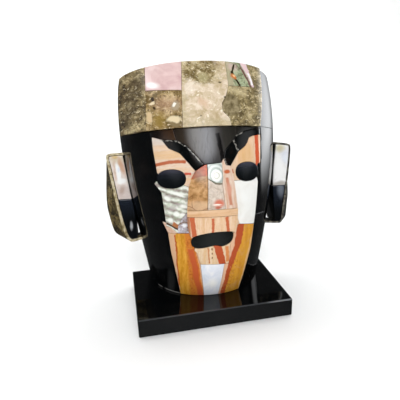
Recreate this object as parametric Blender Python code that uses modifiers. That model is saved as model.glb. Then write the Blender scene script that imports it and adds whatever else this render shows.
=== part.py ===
"""Inlaid death mask on its stand: a hollow black casting faced with plates of stone and shell.

Metres, +Z up, the face looks along -Y, origin under the middle of the stand.
The head has its own frame: x across, y back, w up along its axis, which leans back.
"""

import math

import bmesh
import bpy
import numpy as np
from mathutils import Vector

# Stand
STAND_WIDTH = 0.120
STAND_DEPTH = 0.079
STAND_THICKNESS = 0.0145
STAND_BEVEL = 0.0009

# Head
HEAD_WIDTH = 0.133
HEAD_HEIGHT = 0.173
HEAD_DEPTH = 0.084
HEAD_BACK = 0.009
HEAD_ARCH = 0.0078
HEAD_LEAN = math.radians(12.0)
HEAD_TURN = math.radians(-4.5)
HEAD_SHIFT = 0.0037
HEAD_SETBACK = 0.0002
WALL = 0.009

# Inlay
PLATE = 0.0025
JOINT = 0.0003
BAND_HEIGHT = 0.0525
BAND_PROUD = 0.0018
NOSE_HEIGHT = 0.006
NOSE_LEFT = 0.019
NOSE_RIGHT = 0.0175
NOSE_SIDES = 0.3
LIP_HEIGHT = 0.003

# Ears
EAR_FRONT = 0.022
EAR_DEPTH = 0.024
EAR_RIM = {"left": 0.0022, "right": 0.0014}
EAR_FLARE = 0.0115
EAR_ROOT = 0.004
EAR_SLOT_TOP = {"left": 0.052, "right": 0.063}

# The head's form, as shares of its width, depth and height
WIDTH_AT = ((0.0, 0.722), (0.347, 0.887), (0.694, 1.0), (0.988, 0.97))
DEPTH_AT = ((0.0, 0.655), (0.486, 1.0), (0.971, 0.595))
NOSE_AT = ((0.24, 0.5), (0.335, 0.92), (0.365, 1.0), (0.45, 0.62), (0.56, 0.08))
NOSE_ROWS = (0.22, 0.24, 0.29, 0.335, 0.365, 0.41, 0.45, 0.51, 0.585)

# The inlay is drawn on a face of this size and stretched to the head
DRAWN_WIDTH = 133.0
DRAWN_HEIGHT = 173.0
FACE_EDGE = 62.0
BAND_LEFT = -72.0
BAND_RIGHT = (37.0, 51.5)
EDGE_GAP = 0.4

FACE_ANGLES = np.linspace(-FACE_EDGE, FACE_EDGE, 19)
FACE_ROWS = 10
BAND_ANGLES = np.linspace(BAND_LEFT, BAND_RIGHT[0], 17)
BAND_ROWS = 6
OVERCUT = 0.02
CUTTER_ENDS = (-1.6, -0.02)
SIDE_ANGLE = 90.0
BACK_ANGLE = 99.0

BAND_FOOT = HEAD_HEIGHT - BAND_HEIGHT
BAND_SLANT = (BAND_RIGHT[1] - BAND_RIGHT[0]) / BAND_HEIGHT
HEAD_Y = STAND_DEPTH / 2 - HEAD_BACK - HEAD_SETBACK
ACROSS = HEAD_WIDTH / DRAWN_WIDTH
UP = HEAD_HEIGHT / DRAWN_HEIGHT
LEANING = math.cos(HEAD_LEAN), math.sin(HEAD_LEAN)
TURNING = math.cos(HEAD_TURN), math.sin(HEAD_TURN)

# Corners where plates of the inlay meet: x across, w up, in drawn units
CORNERS = {
    "left_1": (-41, 126), "left_2": (-40, 115.8), "left_3": (-39.6, 107), "left_4": (-38.5, 97),
    "left_5": (-37.8, 90.5), "left_eye": (-36, 86), "left_6": (-40.3, 82.5), "left_7": (-35.6, 76),
    "left_8": (-34.2, 62.5), "left_9": (-33.5, 53.5), "left_spur": (-36, 54.3), "left_10": (-32.4, 45.6),
    "left_11": (-30.8, 30), "left_12": (-27.9, 13), "left_13": (-23.5, -14),
    "left_out_1": (-75, 126), "left_out_2": (-75, 54.3), "left_out_3": (-75, -30),
    "right_1": (41.5, 126), "right_2": (41, 114.6), "right_3": (39, 93.6), "right_4": (36.5, 93),
    "right_eye": (34, 87), "right_5": (36, 79.8), "right_6": (33.6, 55.5), "right_7": (32.6, 48.2),
    "right_8": (30.9, 29), "right_9": (27, 9), "right_10": (22.5, -14),
    "right_out_1": (75, 126), "right_out_2": (75, 55.5), "right_out_3": (75, -30),
    "side_stone_1": (-24.6, 126), "side_stone_2": (-24.6, 119), "side_stone_3": (-23, 112),
    "brow_left_tip": (-33.2, 113.3), "brow_left_top": (-16.5, 108), "brow_left_under": (-21.3, 102.7),
    "brow_left_bow": (-28.9, 106.8), "brow_left_mid": (-11.8, 102.2), "brow_left_foot": (-11.6, 90.1),
    "fan_left": (-5.2, 94), "fan_right": (6.8, 95), "fan_1": (8.5, 97.7), "fan_2": (10.2, 103.5),
    "fan_3": (17, 110.5), "fan_4": (19.3, 113.6), "fan_5": (25.3, 116.4), "fan_6": (33.4, 118.3),
    "fan_7": (41.3, 119.4),
    "brow_right_foot": (9.5, 93.2), "brow_right_heel": (13.4, 92.3), "brow_right_side": (20.2, 102),
    "brow_right_1": (26, 105.9), "brow_right_2": (28.5, 108.9), "brow_right_3": (30, 112),
    "brow_right_4": (33.7, 113.5),
    "eye_left": (-28, 85), "lid_left": (-20.4, 81), "eye_right": (27, 88), "lid_right": (22, 82),
    "nose_left_1": (-14.4, 85.2), "nose_left_2": (-16.2, 79), "nose_left_3": (-17.1, 67),
    "nose_left_4": (-17.2, 63), "nose_left_5": (-17.5, 58.5), "nose_left_6": (-17.6, 52.5),
    "nose_left_7": (-17, 46), "lip_left": (-14, 39.5),
    "nose_right_1": (14.2, 82), "nose_right_2": (14.8, 66.6), "nose_right_3": (15.1, 63),
    "nose_right_4": (15.3, 57.8), "nose_right_5": (15.3, 51.4), "nose_right_6": (15, 45.5),
    "lip_right": (13, 40),
    "bridge_left": (-3.4, 94.2), "bridge_left_low": (-3.6, 84.5), "bridge_foot": (1, 80.6),
    "bridge_right_low": (5.6, 80), "bridge_right": (6.4, 85),
    "front_left": (-4.6, 63.2), "front_right": (6.4, 63.1),
    "cheek_strip_1": (-33.4, 51), "cheek_strip_2": (-29.5, 49.5), "cheek_strip_3": (-25.5, 45.7),
    "shard_1": (-25.2, 51.5), "shard_2": (-22.2, 57),
    "pearl_foot": (19.3, 50.3), "wedge_foot": (16.5, 49),
    "jaw_left_1": (-14.2, 32.3), "jaw_left_2": (-12.3, 30), "chin_left": (-9.8, 20.5),
    "chin_left_foot": (-5.5, -14), "chin_right": (8.5, 19.5), "chin_right_out": (11.9, 19.3),
    "jaw_right_1": (12.4, 33.5), "chin_right_foot": (5.2, -14),
    "band_1_top": (-41.8, 186), "band_1_mid": (-42.5, 151), "band_1_foot": (-44, 112),
    "band_2_top": (-13, 186), "band_2_mid": (-16.4, 148.4), "band_2_foot": (-18.8, 112),
    "band_3_top": (21, 186), "band_3_mid": (18.6, 150.9), "band_3_a": (15, 142), "band_3_b": (11.4, 137),
    "band_3_c": (11.2, 131.2), "band_3_d": (15.8, 126), "band_3_foot": (17.3, 112),
    "band_4_top": (36, 186), "band_4_mid": (41, 151.2), "band_left_top": (-80, 186),
    "band_left_foot": (-80, 112), "band_right_top": (80, 186), "band_right_foot": (80, 112),
}

# Each plate by its corners, with the sheet of the head it is cut from, the stone set in it and its finish
FACE_PLATES = {
    "left_strip_upper": ("left_1 left_2 left_3 left_4 left_5 left_eye left_6 left_7 left_8 left_9 left_spur"
                         " left_out_2 left_out_1", "face", "eye_left", "black_stone"),
    "left_strip_lower": ("left_spur left_10 left_11 left_12 left_13 left_out_3 left_out_2", "face", "", "black_stone"),
    "right_strip_upper": ("right_out_1 right_out_2 right_6 right_5 right_eye right_4 right_3 right_2 fan_7 right_1",
                          "face", "eye_right", "black_stone"),
    "right_strip_lower": ("right_out_2 right_out_3 right_10 right_9 right_8 right_7 right_6",
                          "face", "", "black_stone"),
    "forehead_side_stone": ("left_1 left_2 brow_left_tip side_stone_3 side_stone_2 side_stone_1",
                            "face", "", "brown_stone"),
    "forehead_stone": ("side_stone_1 side_stone_2 side_stone_3 brow_left_top brow_left_mid fan_left bridge_left"
                       " fan_right fan_1 fan_2 fan_3 fan_4 fan_5 fan_6 fan_7 right_1", "face", "", "black_stone"),
    "left_brow_outer": ("brow_left_tip brow_left_bow brow_left_under brow_left_top side_stone_3",
                        "face", "", "black_stone"),
    "left_brow_inner": ("brow_left_top brow_left_under brow_left_foot fan_left brow_left_mid",
                        "face", "", "black_stone"),
    "right_brow_inner": ("fan_1 brow_right_foot brow_right_heel brow_right_side fan_3 fan_2",
                         "face", "", "black_stone"),
    "right_brow_outer": ("fan_3 brow_right_side brow_right_1 brow_right_2 brow_right_3 brow_right_4 right_2"
                         " fan_7 fan_6 fan_5 fan_4", "face", "", "black_stone"),
    "left_temple_onyx": ("left_2 left_3 left_4 left_5 left_eye eye_left lid_left nose_left_2 nose_left_1"
                         " brow_left_foot brow_left_under brow_left_bow brow_left_tip", "face", "eye_left", "peach_onyx"),
    "right_temple_onyx": ("right_2 brow_right_4 brow_right_3 brow_right_2 brow_right_1 brow_right_side"
                          " brow_right_heel nose_right_1 lid_right eye_right right_eye right_4 right_3",
                          "face", "eye_right", "peach_onyx"),
    "left_cheek_abalone": ("left_eye left_6 left_7 left_8 left_9 cheek_strip_1 cheek_strip_2 cheek_strip_3"
                           " shard_1 shard_2 nose_left_4 nose_left_3 nose_left_2 lid_left eye_left",
                           "face", "eye_left", "abalone"),
    "left_cheek_shard": ("shard_1 cheek_strip_3 nose_left_7 nose_left_6 nose_left_5 nose_left_4 shard_2",
                         "face", "", "abalone"),
    "left_cheek_strip": ("left_spur left_10 cheek_strip_3 cheek_strip_2 cheek_strip_1 left_9",
                         "face", "", "pink_shell"),
    "right_cheek_pearl": ("nose_right_1 nose_right_2 nose_right_3 pearl_foot right_7 right_6 right_5 right_eye"
                          " eye_right lid_right", "face", "eye_right", "pearl"),
    "right_cheek_wedge": ("nose_right_3 nose_right_4 nose_right_5 nose_right_6 wedge_foot pearl_foot",
                          "face", "", "tan_stone"),
    "left_jaw_onyx": ("left_10 left_11 left_12 left_13 chin_left_foot chin_left jaw_left_2 jaw_left_1 lip_left"
                      " nose_left_7 cheek_strip_3", "face", "mouth", "orange_onyx"),
    "right_jaw_onyx": ("wedge_foot nose_right_6 lip_right jaw_right_1 chin_right_out chin_right chin_right_foot"
                       " right_10 right_9 right_8 right_7 pearl_foot", "face", "mouth", "orange_onyx"),
    "chin_onyx": ("lip_left jaw_left_1 jaw_left_2 chin_left chin_right chin_right_out jaw_right_1 lip_right",
                  "face", "mouth", "peach_onyx"),
    "chin_pearl": ("chin_left chin_left_foot chin_right_foot chin_right", "face", "", "pearl"),
    "nose_left_flank": ("fan_left brow_left_foot nose_left_1 nose_left_2 nose_left_3 nose_left_4 front_left"
                        " bridge_left_low bridge_left", "nose", "", "tan_stone"),
    "nose_bridge_abalone": ("bridge_left bridge_left_low bridge_foot bridge_right_low bridge_right fan_right",
                            "nose", "", "abalone"),
    "nose_front_stone": ("bridge_left_low front_left front_right bridge_right_low bridge_foot",
                         "nose", "", "pink_stone"),
    "nose_right_flank": ("fan_right bridge_right bridge_right_low front_right nose_right_3 nose_right_2"
                         " nose_right_1 brow_right_heel brow_right_foot fan_1", "nose", "", "peach_onyx"),
    "nose_tip_band": ("nose_left_4 nose_left_5 nose_right_4 nose_right_3 front_right front_left",
                      "nose", "", "tan_stone"),
    "upper_lip_onyx": ("nose_left_5 nose_left_6 nose_left_7 lip_left lip_right nose_right_6 nose_right_5"
                       " nose_right_4", "nose", "mouth", "peach_onyx"),
    "headband_left_stone": ("band_left_top band_left_foot band_1_foot band_1_mid band_1_top",
                            "band", "", "olive_stone"),
    "headband_pink_shell": ("band_1_top band_1_mid band_2_mid band_2_top", "band", "", "pink_shell"),
    "headband_brown_stone": ("band_1_mid band_1_foot band_2_foot band_2_mid", "band", "", "olive_stone"),
    "headband_centre_stone": ("band_2_top band_2_mid band_2_foot band_3_foot band_3_d band_3_c band_3_b"
                              " band_3_a band_3_mid band_3_top", "band", "", "cream_stone"),
    "headband_abalone": ("band_3_top band_3_mid band_4_mid band_4_top", "band", "", "abalone"),
    "headband_right_stone": ("band_4_top band_4_mid band_3_mid band_3_a band_3_b band_3_c band_3_d band_3_foot"
                             " band_right_foot band_right_top", "band", "", "olive_stone"),
}

# Set stones, in drawn units: centre and half sizes of the eyes, outline of the mouth
EYES = {"eye_left": (-28.3, 85.3, 10.1, 6.8), "eye_right": (26.8, 87.8, 10.0, 7.0)}
EYE_POINTS = 20
EYE_SQUARENESS = 2.3
MOUTH = ((-16.9, 40.5), (-14.2, 44), (-5.9, 46.3), (2.2, 47), (12.5, 46.2), (14.8, 44.4), (14.6, 39.5),
         (12, 36.2), (5.8, 34.1), (1.8, 36), (-3.2, 34.9), (-10.2, 33.7), (-14.5, 34.3), (-16.5, 36.8))

SET_STONES = {"left_eye_stone": "eye_left", "right_eye_stone": "eye_right", "mouth_stone": "mouth"}

# Outer outline of each ear's front, in drawn units, from the top of its root down to the ledge under it
EARS = {
    "left": ((64, 107.6), (76.4, 107.4), (78, 104.3), (75.6, 90), (73.5, 76), (71.4, 62.5), (69.7, 53.5),
             (67.7, 44.5), (65.7, 37.8), (63.5, 33.9), (60.5, 32.6), (51, 34.6)),
    "right": ((64, 110.7), (78, 108.8), (79.5, 106), (77.7, 91), (75.3, 76), (73, 63), (71.4, 54),
              (70.4, 47.5), (69.8, 43.5), (68.6, 40.8), (66.4, 39.8), (54.5, 41.2)),
}
EAR_INNER = {
    "left": ((108, 64.5), (86, 61.6), (72, 59.7), (58, 57.3), (37, 56.5)),
    "right": ((108, 66.2), (86, 63), (72, 62.3), (58, 62.5), (37, 63)),
}
EAR_SPLIT = {"left": 69.0, "right": 73.0}
FLARE_AT = ((33, 0.6), (38, 1.0), (66, 0.96), (108, 0.1))
EAR_SECTIONS = 4

# Colour, roughness and metallic value of each finish
FINISHES = {
    "black_stone": ((0.010, 0.010, 0.012), 0.08, 0.0),
    "black_cast": ((0.012, 0.012, 0.014), 0.14, 0.0),
    "brown_stone": ((0.055, 0.028, 0.016), 0.12, 0.0),
    "olive_stone": ((0.330, 0.270, 0.140), 0.22, 0.0),
    "cream_stone": ((0.740, 0.640, 0.460), 0.24, 0.0),
    "tan_stone": ((0.680, 0.440, 0.220), 0.22, 0.0),
    "pink_stone": ((0.720, 0.550, 0.450), 0.20, 0.0),
    "peach_onyx": ((0.830, 0.480, 0.280), 0.16, 0.0),
    "orange_onyx": ((0.780, 0.330, 0.050), 0.16, 0.0),
    "pink_shell": ((0.780, 0.540, 0.540), 0.18, 0.0),
    "pearl": ((0.850, 0.840, 0.830), 0.16, 0.0),
    "abalone": ((0.440, 0.520, 0.470), 0.16, 0.0),
}


def curve_through(stations):
    """A smooth curve through (share, value) stations, as a polynomial."""
    places, values = zip(*stations)
    return np.polynomial.Polynomial.fit(places, values, len(places) - 1)


WIDTH_CURVE = curve_through(WIDTH_AT)
DEPTH_CURVE = curve_through(DEPTH_AT)


def head_point(angle, w, lift=0.0):
    """Point x, y of the head's wall at a plan angle in degrees and a height, lifted off the outside.

    From -90 to 90 degrees the plan is half an ellipse; past that it runs straight to the back of the wall.
    """
    half_width = HEAD_WIDTH / 2 * WIDTH_CURVE(w / HEAD_HEIGHT)
    depth = HEAD_DEPTH * DEPTH_CURVE(w / HEAD_HEIGHT)
    if abs(angle) > SIDE_ANGLE:
        share = (abs(angle) - SIDE_ANGLE) / (BACK_ANGLE - SIDE_ANGLE)
        return math.copysign(half_width + lift, angle), share * HEAD_BACK
    turn = math.radians(angle)
    x, y = half_width * math.sin(turn), -depth * math.cos(turn)
    out = Vector((math.sin(turn) / half_width, -math.cos(turn) / depth)).normalized()
    return x + lift * out.x, y + lift * out.y


def place(x, y, w):
    """A point of the head's frame, leaned back and turned on the stand, in world metres."""
    lean_cos, lean_sin = LEANING
    turn_cos, turn_sin = TURNING
    back, high = y * lean_cos + w * lean_sin, w * lean_cos - y * lean_sin
    return Vector((HEAD_SHIFT + x * turn_cos - back * turn_sin,
                   HEAD_Y + x * turn_sin + back * turn_cos,
                   STAND_THICKNESS + high))


def top_height(angle):
    """The top edge is an arch, highest in front."""
    return HEAD_HEIGHT - HEAD_ARCH * (1.0 - math.cos(math.radians(min(abs(angle), SIDE_ANGLE))))


def foot_height(angle, lift):
    """Height along the leaning axis at which the wall meets the stand, less one joint."""
    w = 0.0
    for _ in range(30):
        w = (JOINT + head_point(angle, w, lift)[1] * LEANING[1]) / LEANING[0]
    return w


def head_angle(x, w, lift=0.0):
    """Plan angle of the wall's front at a distance across the head."""
    half_width = HEAD_WIDTH / 2 * WIDTH_CURVE(w / HEAD_HEIGHT) + lift
    return math.degrees(math.asin(max(-1.0, min(1.0, x / half_width))))


def side_of_head(y, w):
    """Half-width of the head's outside at a distance y in front of its widest plane."""
    half_width = HEAD_WIDTH / 2 * WIDTH_CURVE(w / HEAD_HEIGHT)
    depth = HEAD_DEPTH * DEPTH_CURVE(w / HEAD_HEIGHT)
    return half_width * math.sqrt(1.0 - min(y / depth, 0.0) ** 2)


def nose_relief(w):
    """How far the nose and lip stand off the face at a height."""
    shares, heights = zip(*NOSE_AT)
    share = float(np.interp(w / HEAD_HEIGHT, shares, heights))
    return LIP_HEIGHT if w / HEAD_HEIGHT < shares[0] else share * NOSE_HEIGHT


def new_collection(name):
    made = bpy.data.collections.new(name)
    bpy.context.scene.collection.children.link(made)
    return made


def add_object(name, bm, collection, finish=None):
    """Turns a bmesh into a named object with its faces pointing out."""
    bmesh.ops.recalc_face_normals(bm, faces=bm.faces[:])
    mesh = bpy.data.meshes.new(name)
    bm.to_mesh(mesh)
    bm.free()
    made = bpy.data.objects.new(name, mesh)
    collection.objects.link(made)
    if finish:
        mesh.materials.append(FINISH[finish])
    else:
        made.hide_render = True
        made.display_type = "WIRE"
    return made


def make_finish(name, colour, roughness, metallic):
    made = bpy.data.materials.new(name)
    made.use_nodes = True
    shader = made.node_tree.nodes["Principled BSDF"]
    shader.inputs["Base Color"].default_value = (*colour, 1.0)
    shader.inputs["Roughness"].default_value = roughness
    shader.inputs["Metallic"].default_value = metallic
    return made


def wall_sheet(name, angles, rows, inner, outer, collection, finish=None, slant=0.0):
    """A thick plate of the head's wall: a grid in angle and height, drawn out and bent round the head.

    rows(angle, lift) gives the heights up one column, and inner and outer give the lift at an angle and
    height. The slant, in degrees a metre, draws out the columns towards the right as they rise.
    """
    levels = len(rows(angles[0], 0.0))
    bm = bmesh.new()
    back = bmesh.ops.create_grid(bm, x_segments=len(angles) - 1, y_segments=levels - 1, size=0.5)["verts"]
    drawn = bmesh.ops.extrude_face_region(bm, geom=bm.faces[:])["geom"]
    front = [item for item in drawn if isinstance(item, bmesh.types.BMVert)]
    for layer, lift_of in ((back, inner), (front, outer)):
        for vert in layer:
            start = angles[round((vert.co.x + 0.5) * (len(angles) - 1))]
            row = round((vert.co.y + 0.5) * (levels - 1))
            angle, w = start, BAND_FOOT
            for _ in range(4):
                w = rows(angle, lift_of(angle, w))[row]
                angle = start + slant * (start - BAND_LEFT) / (BAND_RIGHT[0] - BAND_LEFT) * (w - BAND_FOOT)
            x, y = head_point(angle, w, lift_of(angle, w))
            vert.co = place(x, y, w)
    bmesh.ops.triangulate(bm, faces=[face for face in bm.faces if len(face.verts) == 4], quad_method="FIXED")
    return add_object(name, bm, collection, finish)


def loft(name, sections, collection, finish=None):
    """A closed solid through outlines that have the same number of points, with a flat cap at each end."""
    bm = bmesh.new()
    rings = [[bm.verts.new(point) for point in section] for section in sections]
    for ring, following in zip(rings, rings[1:]):
        for i in range(len(ring)):
            bm.faces.new((ring[i - 1], ring[i], following[i], following[i - 1]))
    bmesh.ops.triangulate(bm, faces=bm.faces[:], quad_method="FIXED")
    bm.faces.new(rings[0])
    bm.faces.new(rings[-1])
    return add_object(name, bm, collection, finish)


def inset(outline, gap):
    """The outline drawn in by a gap on every side, with its corners mitred."""
    area = sum(a[0] * b[1] - b[0] * a[1] for a, b in zip(outline, outline[1:] + outline[:1]))
    side = math.copysign(1.0, area)
    made = []
    for i, here in enumerate(outline):
        before = (Vector(here) - Vector(outline[i - 1])).normalized()
        after = (Vector(outline[(i + 1) % len(outline)]) - Vector(here)).normalized()
        in_before = Vector((-before.y, before.x)) * side
        in_after = Vector((-after.y, after.x)) * side
        mitre = (in_before + in_after) / (1.0 + in_before.dot(in_after))
        made.append(tuple(Vector(here) + mitre * gap))
    return made


def scaled(points):
    """Drawn units carried to metres on the head."""
    return [(x * ACROSS, w * UP) for x, w in points]


def prism(name, outline, collection):
    """A cutter with the given front-view outline, running from before the face to behind its wall."""
    ends = [share * HEAD_DEPTH for share in CUTTER_ENDS]
    return loft(name, [[place(x, y, w) for x, w in outline] for y in ends], collection)


def add_boolean(target, cutter, operation):
    made = target.modifiers.new(f"{operation.lower()} {cutter.name}", "BOOLEAN")
    made.operation = operation
    made.object = cutter
    made.solver = "EXACT"


def eye_outline(centre_x, centre_w, half_x, half_w):
    """A softly squared oval."""
    made = []
    for turn in np.linspace(0.0, 2.0 * math.pi, EYE_POINTS, endpoint=False):
        c, s = math.cos(turn), math.sin(turn)
        made.append((centre_x + half_x * math.copysign(abs(c) ** (2.0 / EYE_SQUARENESS), c),
                     centre_w + half_w * math.copysign(abs(s) ** (2.0 / EYE_SQUARENESS), s)))
    return scaled(made)


def make_stand():
    bm = bmesh.new()
    bmesh.ops.create_cube(bm, size=1.0)
    bmesh.ops.scale(bm, vec=(STAND_WIDTH, STAND_DEPTH, STAND_THICKNESS), verts=bm.verts[:])
    bmesh.ops.translate(bm, vec=(0.0, 0.0, STAND_THICKNESS / 2), verts=bm.verts[:])
    stand = add_object("stand", bm, PARTS, "black_stone")
    edge = stand.modifiers.new("edges", "BEVEL")
    edge.width = STAND_BEVEL
    edge.segments = 2


def face_rows(angle, lift):
    """Heights of the face's facets, from the stand up to half a joint under the headband's foot."""
    return np.linspace(foot_height(angle, lift), BAND_FOOT - JOINT / 2, FACE_ROWS)


def band_rows(angle, lift):
    """Heights of the headband's facets, from half a joint over its foot to the top of the head."""
    return np.linspace(BAND_FOOT + JOINT / 2, top_height(angle), BAND_ROWS)


def make_sheets():
    """The three sheets that the plates are cut from."""
    tip = NOSE_ROWS[3] * HEAD_HEIGHT
    nose_span = head_angle(-NOSE_LEFT, tip), head_angle(NOSE_RIGHT, tip)
    nose_columns = np.linspace(*nose_span, 9)
    nose_levels = np.array(NOSE_ROWS) * HEAD_HEIGHT
    middle, half = (nose_span[0] + nose_span[1]) / 2, (nose_span[1] - nose_span[0]) / 2

    def nose_front(angle, w):
        crown = 1.0 - NOSE_SIDES * abs((angle - middle) / half) ** 3
        return nose_relief(w) * crown

    return {
        "face": wall_sheet("face sheet", FACE_ANGLES, face_rows, lambda a, w: -PLATE, lambda a, w: 0.0, CUTTERS),
        "nose": wall_sheet("nose sheet", nose_columns, lambda a, lift: nose_levels,
                           lambda a, w: -PLATE, nose_front, CUTTERS),
        "band": wall_sheet("band sheet", BAND_ANGLES, band_rows, lambda a, w: -PLATE, lambda a, w: BAND_PROUD,
                           CUTTERS, slant=BAND_SLANT),
    }


def stone_outline(name):
    return eye_outline(*EYES[name]) if name in EYES else scaled(MOUTH)


def cut_plate(name, sheet, outline, finish):
    """A copy of one sheet of the head, kept only inside an outline."""
    plate = bpy.data.objects.new(name, SHEETS[sheet].data.copy())
    PARTS.objects.link(plate)
    plate.data.materials.append(FINISH[finish])
    add_boolean(plate, prism(f"{name} outline", outline, CUTTERS), "INTERSECT")
    return plate


def make_plates():
    """Each plate is cut to its outline less half a joint all round, and round the stone set in it."""
    holes = {name: prism(name, stone_outline(name), CUTTERS) for name in SET_STONES.values()}
    for name, (corners, sheet, stone, finish) in FACE_PLATES.items():
        outline = inset(scaled([CORNERS[corner] for corner in corners.split()]), JOINT / 2)
        plate = cut_plate(name, sheet, outline, finish)
        if stone:
            add_boolean(plate, holes[stone], "DIFFERENCE")
    for name, stone in SET_STONES.items():
        cut_plate(name, "face", inset(stone_outline(stone), JOINT), "black_stone")


def ear_inner_edge(side, w):
    """The ear's inner edge in front, in metres, at a height in metres."""
    heights, edges = zip(*reversed(EAR_INNER[side]))
    return float(np.interp(w / UP, heights, edges)) * ACROSS


def ear_outline(side, margin):
    """The ear's outer line drawn in by a margin, from its top down to its foot."""
    closed = scaled(EARS[side]) + [(0.0, EARS[side][-1][1] * UP), (0.0, EARS[side][0][1] * UP)]
    return inset(closed, margin)[:len(EARS[side])]


def ear_section(side, margin, y):
    """The ear's line at a distance y, its outer side flaring out towards the back."""
    heights, shares = zip(*FLARE_AT)
    back = (y + EAR_FRONT) / EAR_DEPTH
    flare = [EAR_FLARE * back * float(np.interp(w, heights, shares)) for _, w in EARS[side]]
    return [(x + out, w) for (x, w), out in zip(ear_outline(side, margin), flare)]


def on_line(start, end, x):
    """Height at which the line through two points crosses a distance x."""
    return start[1] + (end[1] - start[1]) * (x - start[0]) / (end[0] - start[0])


def ear_face(side, y, rooted):
    """The closed outline inside the rim; a rooted one grows into the head towards the back, above the slot."""
    line = ear_section(side, EAR_RIM[side] + JOINT, y)
    back = (y + EAR_FRONT) / EAR_DEPTH if rooted else 0.0
    foot = on_line(line[-2], line[-1], ear_inner_edge(side, line[-1][1]))
    top = on_line(line[0], line[1], ear_inner_edge(side, line[0][1]))
    edge = []
    slot_top = EAR_SLOT_TOP[side]
    for w in (*np.linspace(foot, slot_top, 4), *np.linspace(slot_top + EAR_ROOT, top, 5)):
        free = ear_inner_edge(side, w)
        root = side_of_head(y, w) - EAR_ROOT
        edge.append((free + (root - free) * back if w > slot_top else free, w))
    return line[1:-1] + edge


def clip(outline, level, above):
    """The part of a closed outline above or below a height."""
    made = []
    for here, after in zip(outline, outline[1:] + outline[:1]):
        if (here[1] > level) == above:
            made.append(here)
        if (here[1] > level) != (after[1] > level):
            share = (level - here[1]) / (after[1] - here[1])
            made.append((here[0] + share * (after[0] - here[0]), level))
    return made


def make_ear(side, core):
    """One ear: a block grown from the casting, a rim round it and two plates on its front."""
    hand = -1.0 if side == "left" else 1.0

    depths = [-EAR_FRONT, *np.linspace(PLATE - EAR_FRONT, EAR_DEPTH - EAR_FRONT, EAR_SECTIONS)]

    def lofted(name, line_at, places, collection, finish=None):
        return loft(name, [[place(hand * x, y, w) for x, w in line_at(y)] for y in places], collection, finish)

    def rim(y):
        outer, inner = ear_section(side, 0.0, y), ear_section(side, EAR_RIM[side], y)
        for row in (outer, inner):
            for end in (0, -1):
                row[end] = (side_of_head(y, row[end][1]) + JOINT, row[end][1])
        return inner + outer[::-1]

    lofted(f"{side}_ear_rim", rim, depths, PARTS, "olive_stone")
    block = lofted(f"{side} ear block", lambda y: ear_face(side, y, True), depths[1:], CUTTERS)
    add_boolean(core, block, "UNION")

    split = EAR_SPLIT[side] * UP
    face = ear_face(side, -EAR_FRONT, False)
    plates = (("shell", split + JOINT / 2, True, "pearl"), ("black", split - JOINT / 2, False, "black_stone"))
    for name, level, above, finish in plates:
        line = clip(face, level, above)
        lofted(f"{side}_ear_{name}", lambda y: line, (-EAR_FRONT, -EAR_FRONT + PLATE - JOINT), PARTS, finish)


def make_core():
    """The casting: a wall open behind, recessed for the plates, with its ears."""
    angles = np.concatenate([[-BACK_ANGLE], np.linspace(-SIDE_ANGLE, SIDE_ANGLE, 25), [BACK_ANGLE]])

    def rows(angle, lift):
        return np.linspace(foot_height(angle, lift), top_height(angle), 10)

    core = wall_sheet("mask_core", angles, rows, lambda a, w: -WALL, lambda a, w: 0.0, PARTS, "black_cast")
    over = 2.0 * NOSE_HEIGHT
    face_columns = [-FACE_EDGE - EDGE_GAP, *FACE_ANGLES, FACE_EDGE + EDGE_GAP]
    band_columns = [BAND_LEFT - EDGE_GAP, *BAND_ANGLES, BAND_RIGHT[0] + EDGE_GAP]

    def face_cut_rows(angle, lift):
        levels = face_rows(angle, lift)
        return [levels[0] - OVERCUT, *levels, BAND_FOOT + JOINT / 2]

    def band_cut_rows(angle, lift):
        levels = band_rows(angle, lift)
        return [BAND_FOOT - JOINT / 2, *levels, levels[-1] + OVERCUT]

    face = wall_sheet("face recess", face_columns, face_cut_rows,
                      lambda a, w: -PLATE - JOINT, lambda a, w: over, CUTTERS)
    band = wall_sheet("band recess", band_columns, band_cut_rows,
                      lambda a, w: -PLATE - 2.0 * JOINT, lambda a, w: over, CUTTERS, slant=BAND_SLANT)
    for cutter in (band, face):
        add_boolean(core, cutter, "DIFFERENCE")
    for side in EARS:
        make_ear(side, core)


for old in list(bpy.data.objects):
    bpy.data.objects.remove(old)
PARTS = new_collection("inlaid death mask")
CUTTERS = new_collection("cutters")
FINISH = {name: make_finish(name, *values) for name, values in FINISHES.items()}
make_stand()
SHEETS = make_sheets()
make_plates()
make_core()
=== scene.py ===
# %% [markdown]
# # An inlaid death mask on its stand
#
# The real object is a hollow black casting, faced all over its front with thin plates of stone
# and shell that are cut to meet in fine joints, polished flush, and fixed on a black stone slab.
# This lesson dresses the plain CAD model of it: every plate is made again with rounded edges and
# a smooth curve, and every stone gets a material of its own.

import math

import bpy
import numpy as np
from mathutils import Matrix, Vector, geometry


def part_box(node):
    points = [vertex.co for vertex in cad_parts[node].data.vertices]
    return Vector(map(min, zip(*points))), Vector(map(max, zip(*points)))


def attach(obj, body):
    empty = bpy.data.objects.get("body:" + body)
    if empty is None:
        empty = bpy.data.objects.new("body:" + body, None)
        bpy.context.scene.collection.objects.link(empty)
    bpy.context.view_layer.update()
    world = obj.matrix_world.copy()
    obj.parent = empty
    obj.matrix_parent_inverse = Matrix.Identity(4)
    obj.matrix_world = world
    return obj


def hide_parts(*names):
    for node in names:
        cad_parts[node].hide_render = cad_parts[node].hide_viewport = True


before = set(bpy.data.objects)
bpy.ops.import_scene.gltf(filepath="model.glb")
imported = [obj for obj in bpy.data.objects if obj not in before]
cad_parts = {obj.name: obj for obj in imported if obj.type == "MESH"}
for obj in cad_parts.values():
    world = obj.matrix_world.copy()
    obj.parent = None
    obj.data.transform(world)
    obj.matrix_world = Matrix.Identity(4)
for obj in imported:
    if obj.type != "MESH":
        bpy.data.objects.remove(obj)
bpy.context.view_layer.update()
print("CAD nodes:", len(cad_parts))

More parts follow.
